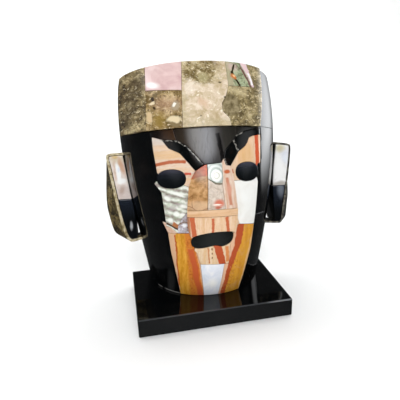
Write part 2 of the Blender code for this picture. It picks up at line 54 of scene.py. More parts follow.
# %% [markdown]
# ## The camera
#
# A camera is described best by where it stands and which way it looks. The azimuth turns it
# about the vertical, the elevation tips it down, and a small roll levels the picture. The three
# directions right, up and back are the columns of its matrix.

# %% Camera
CAMERA_AT = Vector((-0.06264, -0.28375, 0.17806))
AZIMUTH, ELEVATION, ROLL = (math.radians(angle) for angle in (11.73, 17.04, -1.48))
FOCAL_LENGTH = 34.65
SENSOR = 36.0


def add_camera():
    """A camera whose axes are worked out from azimuth, elevation and roll."""
    forward = Vector((math.sin(AZIMUTH) * math.cos(ELEVATION), math.cos(AZIMUTH) * math.cos(ELEVATION),
                      -math.sin(ELEVATION)))
    level = Vector((math.cos(AZIMUTH), -math.sin(AZIMUTH), 0.0))
    above = level.cross(forward)
    right = level * math.cos(ROLL) + above * math.sin(ROLL)
    up = above * math.cos(ROLL) - level * math.sin(ROLL)
    lens = bpy.data.cameras.new("camera")
    lens.lens, lens.sensor_width = FOCAL_LENGTH, SENSOR
    made = bpy.data.objects.new("camera", lens)
    axes = Matrix((right, up, -forward)).transposed()
    made.matrix_world = Matrix.Translation(CAMERA_AT) @ axes.to_4x4()
    bpy.context.scene.collection.objects.link(made)
    bpy.context.scene.camera = made
    return made


camera = add_camera()
bpy.context.scene.view_settings.view_transform = "Standard"
print("camera at", tuple(round(value, 3) for value in camera.matrix_world.translation))

# %% [markdown]
# ## The form of the head
#
# The head is half an ellipse in plan that grows wider and deeper on its way up, on an axis that
# leans back and is turned a little on the stand. One function gives any point of its wall from
# an angle, a height and a lift off the surface, so each later piece is only a choice of those
# three. It works on whole arrays at once. Lengths here are millimetres.

# %% Head surface
HEAD = {"width": 133.0, "height": 173.0, "depth": 84.0, "arch": 7.8, "wall": 9.0, "back": 9.0}
LEAN, TURN = math.radians(12.0), math.radians(-4.5)
STAND_TOP = 14.5
HEAD_AT = (3.7, 30.3)
WIDTH_AT = ((0.0, 0.722), (0.347, 0.887), (0.694, 1.0), (0.988, 0.97))
DEPTH_AT = ((0.0, 0.655), (0.486, 1.0), (0.971, 0.595))
PLATE, JOINT, BAND_PROUD = 2.5, 0.3, 1.8
BAND_FOOT = 120.5
FACE_EDGE, BAND_LEFT, BAND_RIGHT = 62.0, -72.0, (37.0, 51.5)
SETTLING_STEPS = 30


def curve_through(stations):
    """The polynomial that passes through all (share, value) stations."""
    places, values = zip(*stations)
    return np.polynomial.Polynomial.fit(places, values, len(places) - 1)


WIDTH_CURVE, DEPTH_CURVE = curve_through(WIDTH_AT), curve_through(DEPTH_AT)


def half_width(w):
    """Half the head's width at a height up its axis, on the curve through the width stations."""
    return HEAD["width"] / 2 * WIDTH_CURVE(w / HEAD["height"])


def depth(w):
    """Depth of the head at a height up its axis, on the curve through the depth stations."""
    return HEAD["depth"] * DEPTH_CURVE(w / HEAD["height"])


def on_stand(x, y, w):
    """Leans the head's own frame back, turns it, and sets it on the stand, in metres."""
    back = y * math.cos(LEAN) + w * math.sin(LEAN)
    high = w * math.cos(LEAN) - y * math.sin(LEAN)
    return np.stack([HEAD_AT[0] + x * math.cos(TURN) - back * math.sin(TURN),
                     HEAD_AT[1] + x * math.sin(TURN) + back * math.cos(TURN),
                     STAND_TOP + high], axis=-1) / 1000.0


def wall_plan(angle, w, lift):
    """Plan of the wall: x is half the width times the sine, y the depth times the cosine, then a
    step of the lift along the ellipse's normal; past a right angle it runs straight back."""
    a, b = half_width(w), depth(w)
    turn = np.radians(np.clip(angle, -90.0, 90.0))
    out_x, out_y = np.sin(turn) / a, -np.cos(turn) / b
    length = np.hypot(out_x, out_y)
    x = a * np.sin(turn) + lift * out_x / length
    y = -b * np.cos(turn) + lift * out_y / length + np.maximum(np.abs(angle) - 90.0, 0.0)
    return x, y


def wall(angle, w, lift):
    """Points of the wall in space: the plan point at its height, leant and turned onto the stand."""
    x, y = wall_plan(angle, w, lift)
    return on_stand(x, y, w)


def angle_at(x, w, lift=0.0):
    """The plan angle whose wall point stands a distance x across the head."""
    return np.degrees(np.arcsin(np.clip(x / (half_width(w) + lift), -1.0, 1.0)))


def top_height(angle, lift=0.0):
    """The top edge is an arch, highest in front, and the same at every lift."""
    return HEAD["height"] - HEAD["arch"] * (1.0 - np.cos(np.radians(np.minimum(np.abs(angle), 90.0))))


def foot_height(angle, lift=0.0):
    """Height at which the leaning wall comes down to a joint's width over the stand."""
    w = np.zeros(np.broadcast(angle, lift).shape)
    for _ in range(SETTLING_STEPS):
        w = (JOINT + wall_plan(angle, w, lift)[1] * math.sin(LEAN)) / math.cos(LEAN)
    return w


print("head foot in front at", round(float(foot_height(0.0)), 1), "mm along the axis")

# %% [markdown]
# ## Turning arrays into pieces
#
# Every piece ends the same way: its points and faces go into a mesh in one call, it is shaded
# smooth with its real edges kept sharp, it rides on the object's one body, it replaces its CAD
# node, and it gets its finish.

# %% Piece maker
SHARP = math.radians(40.0)
PIECES = {}


def add_piece(name, points, faces, finish, drawn=None):
    """A mesh object from whole arrays; drawn gives each point's place on the drawing, for its UV map."""
    mesh = bpy.data.meshes.new(f"polished_{name}")
    mesh.from_pydata(points.tolist(), [], faces)
    mesh.update()
    if drawn is not None:
        corners = np.empty(len(mesh.loops), np.int32)
        mesh.loops.foreach_get("vertex_index", corners)
        layer = mesh.uv_layers.new(name="drawn")
        layer.data.foreach_set("uv", (drawn[corners] / 100.0).astype(np.float32).ravel())
    made = bpy.data.objects.new(f"polished_{name}", mesh)
    bpy.context.scene.collection.objects.link(made)
    mesh.materials.append(finish)
    finish_edges(mesh)
    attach(made, "root")
    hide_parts(name)
    PIECES[name] = made
    return made


def finish_edges(mesh):
    """Smooth shading everywhere but across edges that are sharper than a set angle."""
    mesh.shade_smooth()
    mesh.set_sharp_from_angle(angle=SHARP)


# %% [markdown]
# ## Cutting a plate
#
# A lapidary traces each plate's outline on a slab, cuts it, and takes the sharp arris off its
# edge. The same steps work here. The outline is walked in short steps, and a net of triangles is
# stretched over it with extra rows of points close to the edge. The depth of each point below
# the polished surface follows a quarter circle in the last fifth of a millimetre.

# %% Outlines
STEP = 0.7
GRID = 1.25
EDGE_ROUND = 0.22
EDGE_ROWS = (0.05, 0.12, 0.24)
FILL_CLEAR, ROW_CLEAR = 0.55, 0.9
REPEAT = 0.02


def inset(outline, gap):
    """The closed outline drawn in by a gap on every side, with mitred corners."""
    before = outline - np.roll(outline, 1, axis=0)
    after = np.roll(outline, -1, axis=0) - outline
    before /= np.hypot(*before.T)[:, None]
    after /= np.hypot(*after.T)[:, None]
    in_before = np.stack([-before[:, 1], before[:, 0]], axis=1)
    in_after = np.stack([-after[:, 1], after[:, 0]], axis=1)
    share = 1.0 + np.sum(in_before * in_after, axis=1)
    return outline + (in_before + in_after) / share[:, None] * gap


def anticlockwise(outline):
    """The outline turned so that its signed area, summed over its sides, is positive."""
    x, w = outline.T
    area = np.sum(x * np.roll(w, -1) - np.roll(x, -1) * w)
    return outline if area > 0 else outline[::-1]


def walked(outline):
    """The closed outline with a point every step along each of its straight sides."""
    sides = np.roll(outline, -1, axis=0) - outline
    counts = np.maximum(np.ceil(np.hypot(*sides.T) / STEP).astype(int), 1)
    which = np.repeat(np.arange(len(outline)), counts)
    share = (np.arange(counts.sum()) - np.repeat(np.cumsum(counts) - counts, counts)) / counts[which]
    return outline[which] + sides[which] * share[:, None]


def without_repeats(outline):
    """Drops points that stand on the one before."""
    gaps = np.hypot(*(outline - np.roll(outline, 1, axis=0)).T)
    return outline[gaps > REPEAT]


def inside(points, outline):
    """Whether each point is inside a closed outline, by the winding of the outline around it."""
    here = outline[None, :, :] - points[:, None, :]
    after = np.roll(here, -1, axis=1)
    up = (here[..., 1] <= 0) & (after[..., 1] > 0)
    down = (here[..., 1] > 0) & (after[..., 1] <= 0)
    left = here[..., 0] * after[..., 1] - after[..., 0] * here[..., 1]
    return np.sum((up & (left > 0)).astype(int) - (down & (left < 0)).astype(int), axis=1) != 0


def distance(points, outline):
    """Distance from each point to the nearest side of a closed outline."""
    side = np.roll(outline, -1, axis=0) - outline
    away = points[:, None, :] - outline[None, :, :]
    share = np.clip(np.sum(away * side, axis=2) / np.maximum(np.sum(side * side, axis=1), 1e-9), 0.0, 1.0)
    return np.sqrt(np.min(np.sum((away - share[..., None] * side) ** 2, axis=2), axis=1))


def inward(outline, gap):
    """Each point of a finely walked outline moved in by a gap."""
    along = np.roll(outline, -1, axis=0) - np.roll(outline, 1, axis=0)
    along /= np.maximum(np.hypot(*along.T), 1e-9)[:, None]
    return outline + np.stack([-along[:, 1], along[:, 0]], axis=1) * gap


def net(outline, hole):
    """Triangles over the region inside the outline and outside the hole, with its edge distances."""
    loops = [outline] + ([hole] if hole is not None else [])
    low, high = outline.min(axis=0), outline.max(axis=0)
    across, up = np.meshgrid(np.arange(low[0], high[0], GRID), np.arange(low[1], high[1], GRID))
    loose = [np.stack([across.ravel(), up.ravel()], axis=1)]
    wanted = [FILL_CLEAR]
    for gap in EDGE_ROWS:
        loose.append(inward(outline, gap))
        wanted.append(ROW_CLEAR * gap)
        if hole is not None:
            loose.append(inward(hole, -gap))
            wanted.append(ROW_CLEAR * gap)

    def edge_distance(points):
        return np.min([distance(points, loop) for loop in loops], axis=0)

    def kept(points):
        good = inside(points, outline)
        return good & ~inside(points, hole) if hole is not None else good

    fill = [points[kept(points) & (edge_distance(points) > least)] for points, least in zip(loose, wanted)]
    starts = np.cumsum([0] + [len(loop) for loop in loops])
    edges = [np.stack([np.arange(len(loop)), np.roll(np.arange(len(loop)), -1)], axis=1) + start
             for loop, start in zip(loops, starts)]
    spread = np.concatenate(loops + fill)
    points, _, triangles, *_ = geometry.delaunay_2d_cdt(spread.tolist(), np.concatenate(edges).tolist(), [],
                                                        0, 1e-5)
    points, triangles = np.array([tuple(point) for point in points]), np.array(triangles)
    triangles = triangles[kept(points[triangles].mean(axis=1))]
    used, triangles = np.unique(triangles, return_inverse=True)
    triangles = triangles.reshape(-1, 3)
    points = points[used]
    first = points[triangles[:, 1]] - points[triangles[:, 0]]
    second = points[triangles[:, 2]] - points[triangles[:, 0]]
    turned = first[:, 0] * second[:, 1] - first[:, 1] * second[:, 0] < 0
    triangles[turned] = triangles[turned][:, ::-1]
    return points, triangles, edge_distance(points)


def rims_of(triangles):
    """The directed edges that only one triangle has."""
    edges = np.concatenate([triangles[:, [0, 1]], triangles[:, [1, 2]], triangles[:, [2, 0]]])
    keys = np.sort(edges, axis=1)
    _, where, counts = np.unique(keys, axis=0, return_index=True, return_counts=True)
    return edges[where[counts == 1]]


def cut_plate(name, outline, hole, surface, finish, edge_round=EDGE_ROUND):
    """A plate: its net at the polished surface, the same net at its back, and a wall between them.
    surface(x, w, lift) carries the drawing to the object."""
    points, triangles, near = net(outline, hole)
    drop = edge_round - np.sqrt(np.maximum(edge_round ** 2 - np.maximum(edge_round - near, 0.0) ** 2, 0.0))
    front = surface(points[:, 0], points[:, 1], -drop)
    back = surface(points[:, 0], points[:, 1], np.full_like(drop, -PLATE))
    count = len(points)
    rim = rims_of(triangles)
    sides = np.stack([rim[:, 1], rim[:, 0], rim[:, 0] + count, rim[:, 1] + count], axis=1)
    faces = triangles.tolist() + (triangles[:, ::-1] + count).tolist() + sides.tolist()
    drawn = np.concatenate([points, points])
    return add_piece(name, np.concatenate([front, back]), faces, finish, drawn)


# %% [markdown]
# ## Mixing stones
#
# A polished stone is told by its colours, by how they are spread, and by the drawing of its
# veins. The helper below writes a material in short steps. Its place on the drawing, in
# millimetres, comes from the piece's own UV map, so a vein lies where the plate has it; cast and
# turned pieces without a map read Object coordinates instead.

# %% Finish helper
class Finish:
    """A material put together step by step around one Principled shader."""

    def __init__(self, name, mapped=True):
        self.made = bpy.data.materials.new(name)
        self.made.use_nodes = True
        self.tree = self.made.node_tree
        self.shader = self.tree.nodes["Principled BSDF"]
        source = self.node("UVMap", uv_map="drawn") if mapped else self.node("TexCoord")
        socket = source.outputs["UV" if mapped else "Object"]
        self.at = self.scaled(socket, 100.0 if mapped else 1000.0)

    def node(self, kind, *values, **settings):
        made = self.tree.nodes.new("ShaderNode" + kind)
        for key, value in settings.items():
            setattr(made, key, value)
        for socket, value in zip(made.inputs, values):
            self.put(socket, value)
        return made

    def put(self, socket, value):
        if isinstance(value, bpy.types.NodeSocket):
            self.tree.links.new(value, socket)
        elif value is not None:
            socket.default_value = value

    def scaled(self, vector, factor):
        made = self.node("VectorMath", vector, operation="SCALE")
        made.inputs["Scale"].default_value = factor
        return made.outputs[0]

    def stretched(self, vector, factors):
        return self.node("VectorMath", vector, factors, operation="MULTIPLY").outputs[0]

    def math(self, operation, first, second=None, third=None):
        return self.node("Math", first, second, third, operation=operation).outputs[0]

    def noise(self, scale, detail=4.0, rough=0.55, twist=0.0, at=None):
        made = self.node("TexNoise")
        for key, value in (("Vector", at or self.at), ("Scale", scale), ("Detail", detail),
                           ("Roughness", rough), ("Distortion", twist)):
            self.put(made.inputs[key], value)
        return made.outputs["Fac"]

    def cells(self, scale, feature, at):
        """Distance to the middle of the nearest of many scattered cells, or to its edge."""
        made = self.node("TexVoronoi", feature=feature)
        self.put(made.inputs["Vector"], at)
        self.put(made.inputs["Scale"], scale)
        return made.outputs["Distance"]

    def wobbled(self, scale, amount, at=None):
        """The place shifted by a soft noise of up to half the amount each way."""
        at = at or self.at
        made = self.node("TexNoise")
        for key, value in (("Vector", at), ("Scale", scale), ("Detail", 3.0)):
            self.put(made.inputs[key], value)
        centred = self.node("VectorMath", made.outputs["Color"], (0.5, 0.5, 0.5),
                            operation="SUBTRACT").outputs[0]
        return self.node("VectorMath", at, self.scaled(centred, amount), operation="ADD").outputs[0]

    def step(self, value, start, end):
        """Rises smoothly from 0 at the start to 1 at the end."""
        made = self.node("MapRange", value, start, end, 0.0, 1.0, interpolation_type="SMOOTHSTEP")
        return made.outputs[0]

    def across(self, start, end, at=None):
        """Signed distance to the left hand of someone who walks the line from start to end."""
        along = (Vector(end) - Vector(start)).normalized()
        left = Vector((-along.y, along.x))
        return self.math("SUBTRACT", self.dot(at or self.at, (left.x, left.y, 0.0)), left.dot(Vector(start)))

    def vein(self, start, end, half, soft, at=None):
        """A stripe of a given half width between two places of the drawing, 1 inside it."""
        side = self.math("ABSOLUTE", self.across(start, end, at))
        along = (Vector(end) - Vector(start)).normalized()
        middle = (Vector(start) + Vector(end)) / 2
        reach = (Vector(end) - Vector(start)).length / 2
        far = self.away(self.dot(at or self.at, (along.x, along.y, 0.0)), along.dot(middle))
        return self.math("MULTIPLY", self.step(side, half + soft, half), self.step(far, reach + soft, reach))

    def spot(self, centre, radii, soft=0.3, at=None, tilt=0.0):
        """An oval patch, 1 inside it, with an edge that is soft by a share of its radius."""
        made = self.node("Mapping", vector_type="TEXTURE")
        self.put(made.inputs["Vector"], at or self.at)
        made.inputs["Location"].default_value = (*centre, 0.0)
        made.inputs["Rotation"].default_value = (0.0, 0.0, math.radians(tilt))
        made.inputs["Scale"].default_value = (*radii, 1000.0)
        length = self.node("VectorMath", made.outputs[0], operation="LENGTH").outputs["Value"]
        return self.step(length, 1.0 + soft, 1.0 - soft)

    def dot(self, vector, way):
        return self.node("VectorMath", vector, way, operation="DOT_PRODUCT").outputs["Value"]

    def away(self, value, middle):
        """How far a value is from a middle one, either way."""
        return self.math("ABSOLUTE", self.math("SUBTRACT", value, middle))

    def spread(self, value, low, high, start=0.0, end=1.0):
        """Carries the values from low to high evenly onto those from start to end."""
        return self.node("MapRange", value, low, high, start, end).outputs[0]

    def any_of(self, first, *others):
        """The largest of several masks."""
        return self.math("MAXIMUM", first, self.any_of(*others)) if others else first

    def part(self, axis, at=None):
        return self.node("SeparateXYZ", at or self.at).outputs[axis]

    def ramp(self, value, *stops):
        """Colours along a value from 0 to 1, each given as (place, sRGB of 255)."""
        made = self.node("ValToRGB", value)
        bar = made.color_ramp.elements
        while len(bar) < len(stops):
            bar.new(0.5)
        for element, (place, colour) in zip(bar, stops):
            element.position = place
            element.color = srgb(*colour)
        return made.outputs["Color"]

    def mix(self, share, first, second):
        made = self.node("Mix", data_type="RGBA")
        self.put(made.inputs[0], share)
        self.put(made.inputs[6], first)
        self.put(made.inputs[7], second)
        return made.outputs[2]

    def laid(self, colour, mask, shade, share=1.0):
        """The colour with an sRGB shade laid over it inside a mask, as far as its share says."""
        return self.mix(mask if share == 1.0 else self.math("MULTIPLY", mask, share), colour, srgb(*shade))

    def polish(self, colour, roughness, wear, bump, grain=1.1, clear=0.0):
        """Joins the colour to the shader, with a breath of uneven polish and the finest relief."""
        self.put(self.shader.inputs["Base Color"], colour)
        cloudy = self.noise(0.22, 3.0)
        self.put(self.shader.inputs["Roughness"], self.math("MULTIPLY_ADD", cloudy, wear, roughness))
        self.shader.inputs["Coat Weight"].default_value = clear
        self.shader.inputs["Coat Roughness"].default_value = 0.04
        relief = self.node("Bump")
        relief.inputs["Strength"].default_value = bump
        relief.inputs["Distance"].default_value = 0.001
        self.put(relief.inputs["Height"], self.noise(grain, 4.0))
        self.put(self.shader.inputs["Normal"], relief.outputs["Normal"])
        return self.made


def srgb(red, green, blue):
    """A colour read off a screen, carried to the linear values that a shader takes."""
    channels = np.array([red, green, blue]) / 255.0
    linear = np.where(channels <= 0.04045, channels / 12.92, ((channels + 0.055) / 1.055) ** 2.4)
    return (*linear.tolist(), 1.0)


# %% [markdown]
# ## Black stones
#
# The strips beside the face, the brows, the eyes, the mouth and the slab are polished black
# stone: almost no colour of their own, and a clean reflection of the room. A faint cloud of
# brown keeps them from looking like plastic. The stone over the nose has a grey reflection
# painted into its middle and one dark streak, and the small stone at its side has a brown
# reflection painted towards its right. The eyes, the mouth and the black ear stones have painted
# reflections too, and the brows painted highlights along their upper edges. A thin pale line runs
# along the foot of the left strip, and a painted highlight along the slab's front edge.

# %% Black finishes
SOOT = (4, 5, 6)
GLASS_POLISH = (0.05, 0.04, 0.008)


def clouded(stone, ground, tint):
    """Two dark shades in broad soft clouds."""
    return stone.mix(stone.step(stone.noise(0.09, 5.0), 0.45, 0.75), srgb(*ground), srgb(*tint))


def black_finish(name, tint=(17, 15, 14), roughness=0.05, mapped=True, ground=SOOT):
    """Plain polished black: soft clouds of a slightly lighter tint."""
    stone = Finish(name, mapped)
    return stone.polish(clouded(stone, ground, tint), roughness, 0.04, 0.008, 0.9)


def foot_lit_finish():
    """Black stone with the thin broken line of light that runs along its foot."""
    stone = Finish("foot strip obsidian", mapped=False)
    colour = clouded(stone, SOOT, (15, 15, 15))
    height = stone.part("Z", stone.wobbled(0.12, 0.5))
    low = stone.step(height, STAND_TOP + 1.8, STAND_TOP + 1.2)
    line = stone.math("MULTIPLY", low, stone.step(stone.noise(0.12, 3.0), 0.36, 0.5))
    return stone.polish(stone.laid(colour, line, (150, 148, 144)), *GLASS_POLISH)


def slab_finish():
    """Black slab with a painted highlight along its front upper edge, brightest towards its right end."""
    stone = Finish("black slab with painted edge highlight", mapped=False)
    colour = clouded(stone, SOOT, (12, 12, 12))
    front_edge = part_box("stand")[0][1] * 1000.0
    upper = stone.step(stone.part("Z"), STAND_TOP - 1.0, STAND_TOP - 0.6)
    front = stone.step(stone.part("Y"), front_edge + 1.2, front_edge + 0.7)
    share = stone.spread(stone.part("X"), 38.0, 46.0, 0.14, 0.6)
    # Painted highlight: the light caught by the slab's front upper edge.
    edge = stone.math("MULTIPLY", stone.math("MULTIPLY", upper, front), share)
    return stone.polish(stone.laid(colour, edge, (148, 150, 154)), 0.04, 0.04, 0.008)


def forehead_finish():
    """A reflection painted in on top of the real one: brown at the left, grey in the middle, black at the
    right; and one dark streak.
    """
    stone = Finish("obsidian with painted grey reflection")
    at = stone.wobbled(0.07, 5.0)
    across = stone.spread(stone.part("X", at), -26.0, 40.0)
    # Painted reflection: the ramp across the stone stands in for the light the polish reflects.
    grey = stone.ramp(across, (0.0, (26, 20, 14)), (0.12, (52, 44, 36)), (0.24, (88, 83, 79)),
                      (0.36, (104, 103, 107)), (0.46, (84, 82, 82)), (0.55, (50, 48, 44)),
                      (0.72, (30, 28, 24)), (1.0, (17, 16, 14)))
    streak = stone.vein((8.0, 97.0), (5.6, 115.0), 0.9, 1.2, stone.wobbled(0.2, 1.6))
    low = stone.step(stone.part("Y", at), 92.0, 104.0)
    colour = stone.laid(grey, streak, (19, 17, 17))
    colour = stone.mix(low, stone.laid(colour, 0.5, (22, 20, 20)), colour)
    strands = stone.noise(0.5, 5.0, 0.6, 0.0, stone.stretched(at, (1.0, 0.12, 1.0)))
    colour = stone.laid(colour, stone.step(strands, 0.5, 0.8), (58, 52, 48))
    return stone.polish(colour, *GLASS_POLISH)


EYE_REFLECTION_FADE = 7.0


def eye_finish(name, centre):
    """A stone painted from black below to a bluish grey above, as a painted reflection."""
    stone = Finish(name)
    up = stone.spread(stone.part("Y", stone.wobbled(0.1, 1.0)), centre - EYE_REFLECTION_FADE, centre + EYE_REFLECTION_FADE)
    colour = stone.ramp(up, (0.0, (9, 12, 13)), (0.45, (15, 19, 22)), (0.72, (28, 31, 38)),
                        (1.0, (58, 57, 70)))
    return stone.polish(colour, 0.06, 0.04, 0.01)


def ear_black_finish(name, spot, sheen, low, high):
    """Bluish black, painted lighter upwards, with one soft painted spot of reflected light that is brightest
    just under the shell.
    """
    stone = Finish(name)
    at = stone.wobbled(0.15, 2.0)
    # Painted reflection: the lighter top and the spot.
    colour = stone.mix(stone.step(stone.part("Y", at), low, high), srgb(9, 11, 13), srgb(26, 31, 40))
    return stone.polish(stone.laid(colour, stone.spot(*spot, at), sheen), 0.07, 0.05, 0.02)


def brow_finish(name, *lines):
    """Black stone with broken painted highlights along its upper edge."""
    stone = Finish(name)
    at = stone.wobbled(0.35, 1.2)
    cloud = stone.step(stone.noise(0.12, 4.0), 0.5, 0.72)
    colour = stone.mix(cloud, srgb(5, 7, 7), srgb(34, 24, 20))
    broken = stone.step(stone.noise(0.5, 3.0), 0.44, 0.56)
    for start, end, half in lines:
        # Painted highlight: broken white glints along the brow's upper edge.
        painted_glint = stone.math("MULTIPLY", stone.vein(start, end, half, 0.5, at), broken)
        colour = stone.laid(colour, painted_glint, (150, 146, 138))
    return stone.polish(colour, 0.06, 0.05, 0.02)


def brown_finish():
    """Black with a brown reflection painted in towards the right, and darker flecks."""
    stone = Finish("obsidian with painted brown reflection")
    # Painted reflection: black at the left turning brown at the right.
    across = stone.spread(stone.part("X", stone.wobbled(0.15, 4.0)), -40.0, -24.0)
    colour = stone.ramp(across, (0.0, (16, 14, 14)), (0.35, (26, 19, 15)), (0.6, (50, 33, 21)),
                        (1.0, (64, 44, 28)))
    fleck = stone.step(stone.noise(0.8, 4.0), 0.56, 0.7)
    colour = stone.laid(colour, fleck, (34, 23, 16))
    return stone.polish(colour, 0.07, 0.05, 0.02)


black = black_finish("polished black stone")
cast = black_finish("black casting", (19, 17, 16), 0.07, mapped=False)
slab = slab_finish()
# The mouth's grey is a painted reflection: its tint and ground are painted lighter than black.
mouth_painted_grey = black_finish("mouth stone with painted grey reflection", (31, 34, 31), ground=(25, 28, 27))
BROW_HIGHLIGHT_LINES = {
    "left_brow_outer": (((-33.0, 113.0), (-22.4, 111.4), 0.3), ((-22.6, 111.6), (-16.8, 107.8), 0.4)),
    "left_brow_inner": (((-16.2, 107.6), (-12.0, 102.0), 0.4), ((-12.0, 102.4), (-6.4, 94.8), 0.5)),
    "right_brow_inner": (((17.0, 110.0), (20.0, 102.4), 0.35), ((9.0, 97.4), (10.4, 93.6), 0.4)),
    "right_brow_outer": (((17.2, 110.2), (20.2, 102.6), 0.35), ((19.6, 113.6), (25.0, 116.2), 0.3)),
}
BLACKS = {
    "forehead_stone": forehead_finish(),
    "forehead_side_stone": brown_finish(),
    "left_eye_stone": eye_finish("left eye obsidian", 85.3),
    "right_eye_stone": eye_finish("right eye obsidian", 87.8),
    "mouth_stone": mouth_painted_grey,
    "left_strip_lower": foot_lit_finish(),
    **{name: brow_finish(name.replace("_", " ") + " obsidian", *lines) for name, lines in BROW_HIGHLIGHT_LINES.items()},
    "left_ear_black": ear_black_finish("left ear obsidian", ((-60.8, 46.5), (1.1, 3.2), 0.6),
                                       (168, 170, 172), 50.0, 68.0),
    "right_ear_black": ear_black_finish("right ear obsidian", ((69.0, 70.0), (2.6, 6.0), 0.8),
                                        (108, 114, 124), 48.0, 66.0),
}
print("black finishes:", 3 + len(BLACKS))

# %% [markdown]
# ## Jaspers of the headband and the ears
#
# Jasper is a mixture: two or three earth colours in clouds, darker threads between them, and
# small bright flecks of quartz. One recipe makes all of them from a list of shades, and each
# plate adds what only it has.

# %% Jasper finishes
JASPER_POLISH = (0.16, 0.1, 0.05)


def jasper(stone, shades, thread, fleck, scale, at=None, threads=0.5, flecks=0.66):
    """Clouds of a few shades, dark threads where a second noise crosses its middle, bright flecks."""
    at = at or stone.at
    broad, cloud = stone.noise(scale * 0.3, 2.0, 0.5, 0.0, at), stone.noise(scale * 0.9, 6.0, 0.68, 0.7, at)
    value = stone.math("MULTIPLY_ADD", broad, 0.4, stone.math("MULTIPLY", cloud, 0.6))
    places = np.linspace(0.42, 0.59, len(shades))
    colour = stone.ramp(value, *zip(places.tolist(), shades))
    crossing = stone.away(stone.noise(scale * 1.5, 6.0, 0.7, 0.8, at), 0.5)
    pits = stone.step(stone.noise(scale * 2.6, 3.0, 0.55, 0.0, at), 0.58, 0.66)
    dark = stone.any_of(stone.step(crossing, 0.026, 0.0), pits)
    colour = stone.laid(colour, dark, thread, threads)
    grains = stone.step(stone.noise(scale * 2.2, 3.0, 0.5, 0.0, stone.stretched(at, (1.0, 1.3, 1.0))),
                        flecks, flecks + 0.06)
    return stone.laid(colour, grains, fleck, 0.8)


def left_band_finish():
    stone = Finish("olive jasper left")
    at = stone.wobbled(0.1, 6.0)
    colour = jasper(stone, ((84, 71, 50), (128, 111, 80), (164, 146, 106), (206, 188, 144)), (52, 42, 32),
                    (226, 212, 176), 0.2, at, 0.75, 0.6)
    seam = stone.vein((-45.0, 163.0), (-60.0, 128.0), 2.4, 4.0, stone.wobbled(0.12, 12.0))
    colour = stone.laid(colour, seam, (68, 58, 46), 0.5)
    dark = stone.step(stone.part("X", at), -56.0, -72.0)
    colour = stone.laid(colour, dark, (90, 78, 58), 0.3)
    return stone.polish(colour, *JASPER_POLISH)


def brown_band_finish():
    stone = Finish("brown jasper")
    at = stone.wobbled(0.12, 5.0)
    colour = jasper(stone, ((112, 92, 54), (150, 126, 82), (184, 158, 112), (212, 188, 144)), (70, 52, 34),
                    (230, 212, 176), 0.19, at, 0.7, 0.6)
    warm = stone.spot((-27.0, 139.0), (9.0, 5.0), 0.7, at)
    colour = stone.laid(colour, warm, (180, 140, 116), 0.5)
    golden = stone.spot((-33.5, 127.0), (4.0, 6.0), 0.6, at)
    colour = stone.laid(colour, golden, (158, 130, 62), 0.6)
    ragged = stone.wobbled(0.3, 2.2, stone.wobbled(0.14, 4.5))
    for centre, radii, shade in (((-23.2, 127.0), (4.6, 2.8), (228, 210, 172)),
                                 ((-40.8, 130.0), (2.0, 4.2), (218, 192, 150)),
                                 ((-21.8, 136.6), (2.3, 3.4), (176, 158, 130)),
                                 ((-22.4, 137.2), (0.9, 1.5), (247, 242, 230)),
                                 ((-37.6, 143.6), (1.3, 1.5), (50, 38, 28)),
                                 ((-36.4, 136.6), (1.0, 1.6), (66, 50, 34)),
                                 ((-38.0, 140.6), (1.8, 1.3), (232, 214, 180)),
                                 ((-22.8, 123.4), (3.4, 1.6), (136, 118, 84))):
        colour = stone.laid(colour, stone.spot(centre, radii, 0.35, ragged), shade)
    return stone.polish(colour, *JASPER_POLISH)


def centre_band_finish():
    stone = Finish("cream jasper")
    at = stone.wobbled(0.09, 9.0)
    cream = jasper(stone, ((188, 166, 128), (210, 190, 158), (227, 208, 183), (237, 222, 202)),
                   (176, 152, 114), (252, 243, 226), 0.15, at, 0.35, 0.62)
    olive = jasper(stone, ((112, 94, 56), (156, 138, 96), (190, 172, 130), (218, 202, 166)), (88, 70, 44),
                   (236, 224, 196), 0.24, at, 0.6, 0.6)
    rosy = stone.spot((-2.0, 138.0), (4.5, 2.6), 0.6, at, -40.0)
    cream = stone.laid(cream, rosy, (214, 178, 146), 0.7)
    stain = stone.spot((0.5, 158.0), (3.8, 4.2), 0.5, stone.wobbled(0.3, 3.0))
    olive = stone.laid(olive, stain, (176, 166, 122), 0.65)
    up = stone.step(stone.part("Y", stone.wobbled(0.13, 14.0)), 152.0, 158.0)
    right = stone.step(stone.part("X", at), 17.0, 9.0)
    colour = stone.mix(stone.math("MULTIPLY", up, right), cream, olive)
    edge = stone.any_of(stone.step(stone.part("X", at), -11.0, -16.0),
                        stone.step(stone.part("Y", at), 129.0, 123.0))
    greyer = stone.laid(olive, 0.5, (214, 197, 162))
    colour = stone.mix(stone.math("MULTIPLY", edge, 0.75), colour, greyer)
    for centre, radii in (((-5.4, 128.4), (0.7, 0.7)), ((11.6, 154.2), (0.9, 0.8)),
                          ((13.6, 142.4), (0.9, 0.6))):
        colour = stone.laid(colour, stone.spot(centre, radii, 0.5, at), (96, 84, 60))
    return stone.polish(colour, 0.16, 0.1, 0.04)


